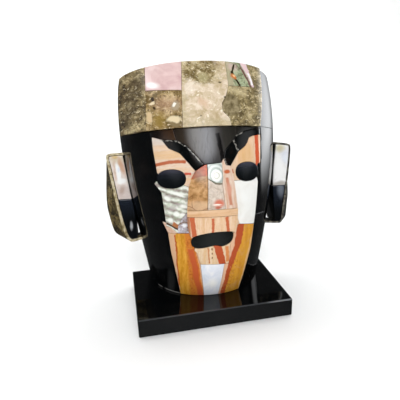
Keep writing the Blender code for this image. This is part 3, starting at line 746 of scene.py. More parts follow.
def right_band_finish():
    stone = Finish("olive jasper right")
    at = stone.wobbled(0.1, 6.0)
    colour = jasper(stone, ((100, 86, 58), (138, 122, 84), (172, 154, 110), (206, 188, 146)), (72, 60, 42),
                    (230, 216, 178), 0.26, at, 0.75, 0.6)
    blob = stone.spot((18.0, 136.0), (7.0, 8.2), 0.15, stone.wobbled(0.1, 4.0))
    smooth = stone.ramp(stone.noise(0.2, 5.0, 0.65), (0.38, (96, 84, 58)), (0.5, (132, 118, 86)),
                        (0.62, (160, 146, 112)))
    colour = stone.mix(blob, colour, smooth)
    pale = stone.spot((25.0, 146.5), (6.0, 3.0), 0.6, at, -15.0)
    colour = stone.laid(colour, pale, (208, 192, 150), 0.6)
    streaks = stone.noise(0.35, 5.0, 0.7, 0.0, stone.stretched(at, (1.0, 0.3, 1.0)))
    high = stone.math("MULTIPLY", stone.step(stone.part("Y", at), 150.0, 156.0),
                      stone.step(streaks, 0.48, 0.6))
    colour = stone.laid(colour, high, (96, 84, 60), 0.6)
    return stone.polish(colour, *JASPER_POLISH)


def rim_finish(name, shades, thread, front):
    """Jasper that is paler on the rim's front face, found by its depth in the head's own frame."""
    stone = Finish(name, mapped=False)
    colour = jasper(stone, shades, thread, (176, 160, 118), 0.2, None, 0.85, 0.64)
    axis = (-math.sin(TURN) * math.cos(LEAN), math.cos(TURN) * math.cos(LEAN), -math.sin(LEAN))
    start = axis[0] * HEAD_AT[0] + axis[1] * HEAD_AT[1] + axis[2] * STAND_TOP
    along = stone.dot(stone.at, axis)
    depth_in = stone.math("SUBTRACT", along, start)
    ragged = stone.math("MULTIPLY_ADD", stone.noise(0.35, 4.0), 2.4, -1.2)
    face = stone.step(stone.math("ADD", depth_in, ragged), -20.6, -21.4)
    pale = stone.ramp(stone.noise(0.3, 6.0, 0.7), (0.38, front[0]), (0.5, front[1]), (0.62, front[2]))
    return stone.polish(stone.mix(stone.math("MULTIPLY", face, 0.85), colour, pale), 0.12, 0.1, 0.04)


JASPERS = {
    "headband_left_stone": left_band_finish(),
    "headband_brown_stone": brown_band_finish(),
    "headband_centre_stone": centre_band_finish(),
    "headband_right_stone": right_band_finish(),
    "left_ear_rim": rim_finish("olive jasper rim",
                               ((44, 35, 18), (78, 64, 32), (108, 92, 54), (146, 128, 88)), (24, 20, 14),
                               ((120, 104, 66), (196, 180, 144), (232, 220, 190))),
    "right_ear_rim": rim_finish("dark jasper rim",
                                ((24, 25, 26), (44, 43, 40), (82, 77, 66), (118, 110, 92)), (14, 14, 15),
                                ((38, 38, 38), (96, 92, 84), (150, 144, 130))),
}
print("jaspers:", len(JASPERS))

# %% [markdown]
# ## Onyx of the face
#
# Banded onyx is peach to orange, with layers that run right through a slab. On a cut plate each
# layer shows as a stripe, so a stripe is a distance to a line, made wavy by moving the place
# first. Red iron stains follow the same layers.

# %% Onyx finishes
ONYX_POLISH = (0.1, 0.06, 0.02)
JAW_POLISH = (0.1, 0.06, 0.03)


def layers(stone, at, turned, scale, *stops):
    """Soft bands across one direction of the drawing, with finer ones and a little cloud over them."""
    def drawn_out(share):
        return stone.stretched(at, (share, 1.0, 1.0) if turned else (1.0, share, 1.0))

    colour = stone.ramp(stone.noise(scale, 5.0, 0.66, 0.0, drawn_out(0.06)), *stops)
    fine = stone.step(stone.noise(scale * 3.5, 3.0, 0.6, 0.0, drawn_out(0.14)), 0.54, 0.68)
    colour = stone.laid(colour, fine, (196, 140, 96), 0.3)
    cloud = stone.step(stone.noise(0.16, 5.0, 0.62, 0.6, at), 0.52, 0.68)
    return stone.laid(colour, cloud, (214, 168, 124), 0.3)


def bubbles(stone, colour, mask):
    """Small dark rings with pale middles, the edges of cells, inside a mask."""
    near = stone.cells(0.62, "F1", stone.wobbled(0.5, 0.8))
    ring = stone.math("MULTIPLY", stone.step(stone.away(near, 0.36), 0.13, 0.03), mask)
    middle = stone.math("MULTIPLY", stone.step(near, 0.24, 0.12), mask)
    colour = stone.laid(colour, ring, (158, 74, 34), 0.6)
    return stone.laid(colour, middle, (246, 190, 120), 0.6)


def left_temple_finish():
    stone = Finish("peach onyx left temple")
    at = stone.wobbled(0.4, 1.1, stone.wobbled(0.06, 3.0))
    colour = layers(stone, at, True, 0.28, (0.36, (236, 200, 160)), (0.5, (232, 204, 178)),
                    (0.64, (232, 216, 202)))
    warm = stone.step(stone.away(stone.part("Y", at), 102.5), 4.4, 1.6)
    colour = stone.laid(colour, warm, (228, 182, 122), 0.6)
    grey = stone.step(stone.part("Y", at), 106.0, 112.0)
    colour = stone.laid(colour, grey, (218, 206, 196), 0.6)
    stripe = stone.any_of(stone.vein((-38.5, 95.2), (-29.0, 97.4), 0.85, 0.7, at),
                          stone.vein((-29.5, 97.4), (-18.0, 96.4), 0.75, 0.8, at))
    colour = stone.laid(colour, stripe, (188, 104, 70))
    colour = stone.laid(colour, stone.vein((-18.4, 88.6), (-14.8, 88.4), 0.55, 0.7, at), (208, 96, 74))
    return stone.polish(colour, *ONYX_POLISH)


def right_temple_finish():
    stone = Finish("peach onyx right temple")
    at = stone.wobbled(0.4, 1.0, stone.wobbled(0.06, 2.5))
    colour = layers(stone, at, False, 0.3, (0.36, (228, 184, 138)), (0.5, (236, 198, 164)),
                    (0.64, (240, 208, 178)))
    golden = stone.spot((26.0, 100.0), (6.0, 9.0), 0.6, at)
    colour = stone.laid(colour, golden, (226, 178, 112), 0.6)
    pale = stone.step(stone.part("X", at), 19.0, 14.0)
    colour = stone.laid(colour, pale, (226, 198, 168))
    stripe = stone.vein((36.8, 116.0), (36.0, 91.0), 1.5, 0.5, at)
    colour = stone.laid(colour, stripe, (216, 96, 60))
    dash = stone.vein((9.6, 87.8), (15.0, 88.2), 1.1, 0.5, at)
    colour = stone.laid(colour, dash, (196, 98, 58))
    return stone.polish(colour, *ONYX_POLISH)


def left_jaw_finish():
    stone = Finish("orange onyx left jaw")
    at = stone.wobbled(0.45, 1.5, stone.wobbled(0.08, 2.4))
    peach = srgb(222, 180, 144)
    golden = stone.ramp(stone.noise(0.5, 5.0, 0.66, 0.0, stone.stretched(at, (1.0, 0.12, 1.0))),
                        (0.4, (204, 138, 40)), (0.52, (222, 160, 56)), (0.64, (230, 174, 74)))
    edge = stone.across((-27.4, 44.4), (-25.0, -6.0), at)
    colour = stone.mix(stone.step(edge, 0.2, 0.7), peach, golden)
    deep = stone.step(stone.across((-20.6, 44.0), (-17.0, -8.0), at), -1.2, 1.2)
    colour = stone.laid(colour, deep, (212, 128, 52))
    spots = stone.step(stone.noise(0.55, 4.0), 0.52, 0.66)
    colour = stone.laid(colour, stone.math("MULTIPLY", spots, stone.math("MULTIPLY_ADD", deep, 0.55, 0.1)),
                        (176, 84, 34))
    colour = bubbles(stone, colour, stone.vein((-17.6, 40.0), (-14.6, 4.0), 2.2, 1.2, at))
    red = stone.any_of(stone.vein((-16.4, 33.0), (-12.2, 8.0), 1.7, 1.0, at),
                       stone.vein((-12.6, 10.0), (-8.4, -10.0), 1.6, 1.0, at))
    colour = stone.laid(colour, red, (198, 94, 52))
    beyond = stone.step(stone.across((-12.8, 33.0), (-6.0, -10.0), at), -0.6, 0.6)
    colour = stone.laid(colour, beyond, (226, 178, 142))
    colour = stone.laid(colour, stone.vein((-27.4, 44.4), (-25.2, 0.0), 0.3, 0.4, at), (190, 92, 40))
    return stone.polish(colour, *JAW_POLISH)


def right_jaw_finish():
    stone = Finish("orange onyx right jaw")
    at = stone.wobbled(0.45, 1.5, stone.wobbled(0.08, 2.4))
    colour = layers(stone, at, False, 0.3, (0.36, (210, 142, 46)), (0.6, (226, 166, 60)))
    spots = stone.step(stone.noise(0.5, 4.0), 0.58, 0.68)
    colour = stone.laid(colour, spots, (198, 112, 44), 0.4)
    pale = stone.step(stone.across((30.2, 46.0), (21.5, -8.0), at), 0.6, 1.6)
    colour = stone.laid(colour, pale, (234, 196, 150), 0.7)
    inner = stone.step(stone.across((16.0, 34.0), (9.0, -8.0), at), 1.0, -1.0)
    colour = stone.laid(colour, inner, (230, 186, 152))
    red = stone.any_of(stone.vein((20.6, 50.5), (18.6, 35.0), 2.4, 1.0, at),
                       stone.vein((18.8, 36.0), (13.2, 19.0), 1.8, 1.0, at),
                       stone.vein((13.2, 20.0), (9.0, -9.0), 1.3, 1.0, at))
    colour = stone.laid(colour, red, (186, 84, 48))
    colour = bubbles(stone, colour, stone.vein((16.6, 22.0), (10.6, -8.0), 2.4, 1.2, at))
    return stone.polish(colour, *JAW_POLISH)


def chin_finish():
    stone = Finish("peach onyx chin")
    at = stone.wobbled(0.45, 1.2, stone.wobbled(0.1, 1.8))
    colour = layers(stone, at, False, 0.4, (0.36, (226, 186, 140)), (0.5, (228, 198, 160)),
                    (0.64, (238, 214, 184)))
    colour = stone.laid(colour, stone.vein((2.0, 37.0), (7.2, 18.5), 2.4, 0.6, at), (190, 84, 46))
    colour = stone.laid(colour, stone.vein((9.6, 34.0), (11.0, 22.0), 1.0, 0.8, at), (220, 140, 84))
    dots = stone.any_of(stone.spot((-1.6, 33.2), (0.5, 1.0), 0.5, at),
                        stone.spot((-1.4, 29.6), (0.4, 0.8), 0.5, at),
                        stone.spot((-1.4, 25.7), (0.5, 1.0), 0.5, at))
    colour = stone.laid(colour, dots, (120, 66, 40))
    colour = stone.laid(colour, stone.vein((-4.4, 34.0), (-3.2, 21.0), 0.35, 0.5, at), (204, 136, 92))
    return stone.polish(colour, *ONYX_POLISH)


def lip_finish():
    stone = Finish("peach onyx lip")
    at = stone.wobbled(0.45, 1.2, stone.wobbled(0.1, 1.6))
    colour = layers(stone, at, False, 0.34, (0.36, (228, 184, 140)), (0.5, (238, 202, 166)),
                    (0.64, (242, 216, 190)))
    darker = stone.step(stone.part("X", at), -14.6, -17.0)
    colour = stone.laid(colour, darker, (156, 92, 66), 0.8)
    stripes = stone.any_of(stone.vein((-14.2, 58.0), (-13.4, 44.0), 1.3, 0.6, at),
                           stone.vein((-1.8, 57.0), (-1.2, 46.0), 0.6, 0.5, at),
                           stone.vein((7.4, 57.0), (8.8, 46.0), 0.75, 0.6, at))
    colour = stone.laid(colour, stripes, (204, 108, 70))
    return stone.polish(colour, *ONYX_POLISH)


ONYXES = {"left_temple_onyx": left_temple_finish(), "right_temple_onyx": right_temple_finish(),
          "left_jaw_onyx": left_jaw_finish(), "right_jaw_onyx": right_jaw_finish(),
          "chin_onyx": chin_finish(), "upper_lip_onyx": lip_finish()}
print("onyx plates:", len(ONYXES))

# %% [markdown]
# ## Stones of the nose
#
# The nose is faced with sandy and pink stone. The left flank has a red cap and fine cracks, the
# front a pink stain with a painted white highlight, and the band over the nostrils is evenly sandy.

# %% Nose finishes
NOSE_POLISH = (0.12, 0.08, 0.02)
CRACK = 0.035


def cracks(stone, scale, at):
    """1 along the thin edges between cells."""
    return stone.step(stone.cells(scale, "DISTANCE_TO_EDGE", at), CRACK, 0.0)


def left_flank_finish():
    stone = Finish("sandy stone left flank")
    at = stone.wobbled(0.12, 2.5)
    colour = stone.ramp(stone.noise(0.2, 6.0, 0.66, 0.4, at), (0.4, (160, 118, 72)), (0.5, (192, 144, 94)),
                        (0.6, (212, 168, 118)))
    cap = stone.step(stone.across((-13.0, 84.8), (-3.0, 87.6), at), -0.8, 0.8)
    red = stone.ramp(stone.noise(0.3, 3.0), (0.4, (168, 66, 38)), (0.62, (200, 100, 60)))
    colour = stone.mix(cap, colour, red)
    smoky = stone.spot((-10.0, 88.0), (3.6, 5.0), 0.6, at, 30.0)
    colour = stone.laid(colour, smoky, (146, 126, 108), 0.55)
    paler = stone.spot((-9.0, 66.0), (8.0, 3.2), 0.5, at)
    colour = stone.laid(colour, paler, (222, 186, 150), 0.7)
    lines = stone.math("MULTIPLY", cracks(stone, 0.11, at), stone.step(stone.part("Y", at), 76.0, 72.0))
    colour = stone.laid(colour, lines, (134, 84, 52), 0.8)
    return stone.polish(colour, 0.14, 0.08, 0.04)


def nose_front_finish():
    stone = Finish("pink stone")
    at = stone.wobbled(0.12, 2.0)
    colour = stone.ramp(stone.noise(0.3, 6.0, 0.6, 0.6, at), (0.35, (196, 176, 158)), (0.5, (218, 202, 186)),
                        (0.65, (230, 216, 202)))
    veins = stone.away(stone.noise(0.22, 4.0, 0.6, 1.0, at), 0.5)
    colour = stone.laid(colour, stone.step(veins, 0.025, 0.0), (156, 138, 120), 0.55)
    colour = stone.laid(colour, stone.spot((2.6, 67.4), (3.2, 2.4), 0.5, at), (216, 122, 98))
    # Painted highlight: a white glint on the pink stain.
    colour = stone.laid(colour, stone.spot((1.4, 66.6), (2.6, 0.55), 0.5, at), (255, 246, 236))
    colour = stone.laid(colour, stone.spot((2.0, 64.4), (2.0, 0.6), 0.5, at), (190, 92, 66))
    return stone.polish(colour, 0.12, 0.08, 0.03)


def right_flank_finish():
    stone = Finish("peach stone right flank")
    at = stone.wobbled(0.1, 2.0)
    colour = layers(stone, at, False, 0.36, (0.36, (220, 178, 150)), (0.5, (228, 200, 180)),
                    (0.64, (236, 216, 198)))
    colour = stone.laid(colour, stone.vein((9.2, 84.0), (10.0, 66.0), 0.5, 1.0, at), (206, 140, 112))
    colour = stone.laid(colour, stone.spot((9.6, 76.0), (1.6, 4.0), 0.6, at), (218, 160, 136))
    colour = stone.laid(colour, stone.spot((9.6, 88.4), (2.2, 1.3), 0.35, at), (198, 104, 66))
    return stone.polish(colour, *NOSE_POLISH)


def sandy_finish(name, dark, light):
    stone = Finish(name)
    colour = layers(stone, stone.wobbled(0.08, 2.0), True, 0.3, (0.36, dark), (0.64, light))
    return stone.polish(colour, *NOSE_POLISH)


NOSES = {"nose_left_flank": left_flank_finish(), "nose_front_stone": nose_front_finish(),
         "nose_right_flank": right_flank_finish(),
         "nose_tip_band": sandy_finish("sandy stone nostrils", (222, 172, 124), (240, 206, 170)),
         "right_cheek_wedge": sandy_finish("sandy stone wedge", (222, 178, 138), (236, 204, 172))}
print("nose stones:", len(NOSES))

# %% [markdown]
# ## Shell
#
# Mother of pearl is built of fine layers, so its light comes from below a clear surface and
# changes colour with its curls. Abalone has the same layers folded into ribs and rings in green,
# grey and rose. Each plate of shell gets its own drawing of curls under one clear coat.

# %% Shell finishes
def pearl_layers(stone, at, scale, *shades):
    """Soft curls of near-white shades, drawn out by a twisted noise."""
    places = np.linspace(0.34, 0.66, len(shades))
    return stone.ramp(stone.noise(scale, 4.0, 0.55, 1.2, at), *zip(places.tolist(), shades))


def shell_polish(stone, colour):
    """Fine, soft polish under one clear coat."""
    return stone.polish(colour, 0.12, 0.06, 0.03, 0.5, clear=0.6)


def pearl_finish(name, *shades, scale=0.07, gleam=None):
    stone = Finish(name)
    colour = pearl_layers(stone, stone.wobbled(0.06, 4.0), scale, *shades)
    # A painted highlight: a white spot laid into the colour where the shell catches the light.
    if gleam:
        colour = stone.laid(colour, stone.spot(*gleam), (255, 255, 252))
    return shell_polish(stone, colour)


def cheek_abalone_finish():
    stone = Finish("silver abalone cheek")
    at = stone.wobbled(0.07, 5.0)
    waves = stone.math("MULTIPLY", stone.across((-34.0, 77.0), (-16.0, 71.0), stone.wobbled(0.1, 7.0)), 1.2)
    rib = stone.math("MULTIPLY_ADD", stone.math("SINE", waves), 0.5, 0.5)
    curl = stone.noise(0.34, 5.0, 0.65, 0.8, at)
    share = stone.math("MULTIPLY_ADD", rib, 0.42, stone.math("MULTIPLY", curl, 0.72))
    colour = stone.ramp(share, (0.28, (136, 126, 112)), (0.42, (172, 164, 154)), (0.56, (192, 194, 178)),
                        (0.68, (216, 222, 206)), (0.78, (246, 247, 238)))
    green = stone.step(stone.noise(0.22, 3.0, 0.5, 0.5), 0.54, 0.64)
    colour = stone.laid(colour, green, (176, 190, 158), 0.5)
    rose = stone.step(stone.noise(0.2, 3.0, 0.5, 0.5, at), 0.56, 0.66)
    colour = stone.laid(colour, rose, (206, 188, 192), 0.4)
    # Painted highlights: the near-white spots are glints on the shell, laid into the colour.
    for centre, radii in (((-24.5, 74.6), (5.2, 1.0)), ((-31.6, 71.0), (2.2, 1.6)),
                          ((-20.8, 66.2), (3.2, 1.3)), ((-25.5, 60.6), (2.2, 1.6)),
                          ((-30.2, 55.6), (1.6, 1.8)), ((-21.5, 60.0), (2.0, 1.0))):
        colour = stone.laid(colour, stone.spot(centre, radii, 0.5, at, -16.0), (252, 253, 246))
    colour = stone.laid(colour, stone.vein((-28.2, 53.0), (-24.0, 51.4), 1.1, 0.8, at), (190, 120, 74))
    colour = stone.laid(colour, stone.vein((-33.0, 52.8), (-25.0, 49.6), 0.35, 0.5, at), (84, 56, 40))
    return shell_polish(stone, colour)


def shard_finish():
    stone = Finish("lilac abalone shard")
    at = stone.wobbled(0.2, 2.0)
    colour = pearl_layers(stone, at, 0.34, (134, 104, 80), (166, 152, 150), (190, 184, 194), (228, 226, 232))
    colour = stone.laid(colour, stone.spot((-20.6, 51.6), (1.6, 1.4), 0.6, at), (248, 249, 252))
    return shell_polish(stone, colour)


def bridge_abalone_finish():
    stone = Finish("ringed abalone")
    at = stone.wobbled(0.2, 1.6)
    made = stone.node("Mapping", vector_type="TEXTURE")
    stone.put(made.inputs["Vector"], at)
    made.inputs["Location"].default_value = (2.2, 86.2, 0.0)
    made.inputs["Scale"].default_value = (1.0, 1.25, 1000.0)
    far = stone.node("VectorMath", made.outputs[0], operation="LENGTH").outputs["Value"]
    ring = stone.math("MULTIPLY_ADD", stone.math("SINE", stone.math("MULTIPLY", far, 2.6)), 0.5, 0.5)
    colour = stone.mix(ring, srgb(176, 186, 177), srgb(227, 231, 226))
    colour = stone.laid(colour, stone.step(far, 3.9, 2.6), (255, 253, 246))
    colour = stone.laid(colour, stone.step(stone.away(far, 1.6), 0.5, 0.1), (172, 176, 150), 0.5)
    colour = stone.laid(colour, stone.vein((-3.6, 83.8), (1.2, 80.4), 0.5, 0.6, at), (120, 118, 100))
    colour = stone.laid(colour, stone.vein((1.0, 80.6), (5.8, 80.2), 0.5, 0.6, at), (140, 132, 112))
    return shell_polish(stone, colour)


def band_abalone_finish():
    stone = Finish("green abalone headband")
    at = stone.wobbled(0.12, 3.0)
    curl = stone.noise(0.16, 5.0, 0.6, 1.4, at)
    colour = stone.ramp(curl, (0.34, (112, 104, 76)), (0.44, (146, 152, 118)), (0.54, (180, 192, 156)),
                        (0.66, (194, 184, 152)))
    threads = stone.away(stone.noise(0.2, 3.0, 0.5, 2.0, at), 0.5)
    colour = stone.laid(colour, stone.step(threads, 0.03, 0.0), (66, 62, 50), 0.7)
    rose = stone.step(stone.across((33.6, 168.0), (39.4, 150.0), at), -0.6, 0.6)
    colour = stone.laid(colour, rose, (234, 204, 206))
    colour = stone.laid(colour, stone.vein((37.4, 163.0), (39.6, 153.0), 0.6, 0.5, at), (255, 250, 250))
    edge = stone.vein((31.8, 168.0), (38.0, 150.0), 0.5, 0.5, at)
    colour = stone.laid(colour, edge, (120, 78, 76))
    tan = stone.step(stone.part("X", stone.wobbled(0.1, 5.0)), 24.2, 22.4)
    colour = stone.laid(colour, tan, (182, 170, 138), 0.8)
    pink = stone.spot((25.2, 168.0), (3.6, 3.4), 0.6, at)
    colour = stone.laid(colour, pink, (214, 184, 176), 0.7)
    for start, end, half in (((26.8, 170.0), (23.6, 162.6), 0.5), ((23.6, 163.4), (24.4, 159.0), 0.7),
                             ((24.0, 160.0), (27.6, 152.4), 0.55), ((27.4, 153.4), (28.4, 149.0), 0.4)):
        colour = stone.laid(colour, stone.vein(start, end, half, 0.6, stone.wobbled(0.3, 1.4)), (62, 54, 34))
    colour = stone.laid(colour, stone.spot((24.4, 159.2), (1.9, 2.3), 0.4, at, 30.0), (206, 122, 62))
    colour = stone.laid(colour, stone.spot((24.8, 159.8), (0.8, 1.0), 0.5, at), (250, 206, 150))
    return shell_polish(stone, colour)


def ear_shell_finish(name, shades, patches):
    """Curls of pearl with patches laid over them: (centre, radii, tilt, soft, share, colour)."""
    stone = Finish(name)
    at = stone.wobbled(0.12, 3.0)
    colour = pearl_layers(stone, at, 0.12, *shades)
    for centre, radii, tilt, soft, share, shade in patches:
        spot = stone.spot(centre, radii, soft, at, tilt)
        colour = stone.laid(colour, spot, shade, share)
    return shell_polish(stone, colour)


SHELLS = {
    "headband_pink_shell": pearl_finish("pink shell", (212, 172, 172), (228, 196, 192), (240, 214, 210),
                                        scale=0.05, gleam=((-36.8, 154.6), (4.0, 2.0), 0.8, None, -18.0)),
    "headband_abalone": band_abalone_finish(),
    "left_cheek_abalone": cheek_abalone_finish(),
    "left_cheek_shard": shard_finish(),
    "left_cheek_strip": pearl_finish("peach shell strip", (206, 156, 130), (226, 190, 164), (236, 210, 190),
                                     scale=0.2),
    "right_cheek_pearl": pearl_finish("white pearl", (247, 245, 239), (252, 251, 246), (255, 255, 251)),
    "chin_pearl": pearl_finish("blue pearl", (226, 232, 243), (240, 243, 251), (254, 254, 255), scale=0.1,
                               gleam=((0.2, 2.2), (3.2, 3.8), 0.9)),
    "nose_bridge_abalone": bridge_abalone_finish(),
    "left_ear_shell": ear_shell_finish(
        "pearl left ear", ((214, 196, 180), (228, 214, 204), (238, 228, 220)),
        (((-67.0, 104.0), (9.0, 5.0), 0.0, 0.7, 0.7, (222, 206, 178)),
         ((-71.0, 104.6), (2.4, 1.8), 0.0, 0.5, 0.8, (214, 178, 108)),
         ((-65.6, 96.5), (1.8, 7.0), 16.0, 0.6, 0.8, (206, 156, 122)),
         ((-70.6, 92.0), (1.4, 8.0), 4.0, 0.6, 0.5, (214, 168, 138)),
         # The next two near-white patches are a painted highlight: the white streak of light on the shell.
         ((-68.6, 91.0), (1.9, 8.5), 9.0, 0.4, 1.0, (255, 254, 252)),
         ((-66.4, 84.0), (4.0, 2.4), 0.0, 0.5, 0.9, (253, 252, 250)),
         ((-68.2, 93.4), (0.8, 2.4), 0.0, 0.6, 0.4, (206, 216, 240)),
         ((-65.0, 74.0), (8.0, 6.0), 0.0, 0.5, 0.6, (206, 192, 188)),
         ((-66.6, 76.6), (1.6, 3.4), -8.0, 0.7, 0.6, (172, 140, 122)))),
    "right_ear_shell": ear_shell_finish(
        "pearl right ear", ((236, 234, 231), (248, 246, 244), (254, 253, 251)),
        (((74.0, 98.0), (4.0, 6.0), 0.0, 0.8, 0.45, (208, 218, 236)),
         ((69.6, 105.0), (3.6, 3.2), 0.0, 0.7, 0.8, (206, 194, 150)),
         ((68.0, 88.0), (4.0, 9.0), 0.0, 0.5, 0.8, (255, 254, 252)),
         ((68.0, 74.5), (9.0, 2.2), 6.0, 0.6, 0.7, (150, 138, 124)))),
}
print("shells:", len(SHELLS))

# %% [markdown]
# ## The drawing of the inlay
#
# The plates meet at shared corners, so the corners are named once and each plate is a list of
# names. Neighbours then cannot drift apart. x runs across the face and w up the leaning axis.

# %% Corners and plates
CORNERS = {
    "left_1": (-41, 126), "left_2": (-40, 115.8), "left_3": (-39.6, 107), "left_4": (-38.5, 97),
    "left_5": (-37.8, 90.5), "left_eye": (-36, 86), "left_6": (-40.3, 82.5), "left_7": (-35.6, 76),
    "left_8": (-34.2, 62.5), "left_9": (-33.5, 53.5), "left_spur": (-36, 54.3), "left_10": (-32.4, 45.6),
    "left_11": (-30.8, 30), "left_12": (-27.9, 13), "left_13": (-23.5, -14),
    "left_out_1": (-75, 126), "left_out_2": (-75, 54.3), "left_out_3": (-75, -30),
    "right_1": (41.5, 126), "right_2": (41, 114.6), "right_3": (39, 93.6), "right_4": (36.5, 93),
    "right_eye": (34, 87), "right_5": (36, 79.8), "right_6": (33.6, 55.5), "right_7": (32.6, 48.2),
    "right_8": (30.9, 29), "right_9": (27, 9), "right_10": (22.5, -14),
    "right_out_1": (75, 126), "right_out_2": (75, 55.5), "right_out_3": (75, -30),
    "side_stone_1": (-24.6, 126), "side_stone_2": (-24.6, 119), "side_stone_3": (-23, 112),
    "brow_left_tip": (-33.2, 113.3), "brow_left_top": (-16.5, 108), "brow_left_under": (-21.3, 102.7),
    "brow_left_bow": (-28.9, 106.8), "brow_left_mid": (-11.8, 102.2), "brow_left_foot": (-11.6, 90.1),
    "fan_left": (-5.2, 94), "fan_right": (6.8, 95), "fan_1": (8.5, 97.7), "fan_2": (10.2, 103.5),
    "fan_3": (17, 110.5), "fan_4": (19.3, 113.6), "fan_5": (25.3, 116.4), "fan_6": (33.4, 118.3),
    "fan_7": (41.3, 119.4),
    "brow_right_foot": (9.5, 93.2), "brow_right_heel": (13.4, 92.3), "brow_right_side": (20.2, 102),
    "brow_right_1": (26, 105.9), "brow_right_2": (28.5, 108.9), "brow_right_3": (30, 112),
    "brow_right_4": (33.7, 113.5),
    "eye_left": (-28, 85), "lid_left": (-20.4, 81), "eye_right": (27, 88), "lid_right": (22, 82),
    "nose_left_1": (-14.4, 85.2), "nose_left_2": (-16.2, 79), "nose_left_3": (-17.1, 67),
    "nose_left_4": (-17.2, 63), "nose_left_5": (-17.5, 58.5), "nose_left_6": (-17.6, 52.5),
    "nose_left_7": (-17, 46), "lip_left": (-14, 39.5),
    "nose_right_1": (14.2, 82), "nose_right_2": (14.8, 66.6), "nose_right_3": (15.1, 63),
    "nose_right_4": (15.3, 57.8), "nose_right_5": (15.3, 51.4), "nose_right_6": (15, 45.5),
    "lip_right": (13, 40),
    "bridge_left": (-3.4, 94.2), "bridge_left_low": (-3.6, 84.5), "bridge_foot": (1, 80.6),
    "bridge_right_low": (5.6, 80), "bridge_right": (6.4, 85),
    "front_left": (-4.6, 63.2), "front_right": (6.4, 63.1),
    "cheek_strip_1": (-33.4, 51), "cheek_strip_2": (-29.5, 49.5), "cheek_strip_3": (-25.5, 45.7),
    "shard_1": (-25.2, 51.5), "shard_2": (-22.2, 57),
    "pearl_foot": (19.3, 50.3), "wedge_foot": (16.5, 49),
    "jaw_left_1": (-14.2, 32.3), "jaw_left_2": (-12.3, 30), "chin_left": (-9.8, 20.5),
    "chin_left_foot": (-5.5, -14), "chin_right": (8.5, 19.5), "chin_right_out": (11.9, 19.3),
    "jaw_right_1": (12.4, 33.5), "chin_right_foot": (5.2, -14),
    "band_1_top": (-41.8, 186), "band_1_mid": (-42.5, 151), "band_1_foot": (-44, 112),
    "band_2_top": (-13, 186), "band_2_mid": (-16.4, 148.4), "band_2_foot": (-18.8, 112),
    "band_3_top": (21, 186), "band_3_mid": (18.6, 150.9), "band_3_a": (15, 142), "band_3_b": (11.4, 137),
    "band_3_c": (11.2, 131.2), "band_3_d": (15.8, 126), "band_3_foot": (17.3, 112),
    "band_4_top": (36, 186), "band_4_mid": (41, 151.2), "band_left_top": (-80, 186),
    "band_left_foot": (-80, 112), "band_right_top": (80, 186), "band_right_foot": (80, 112),
}

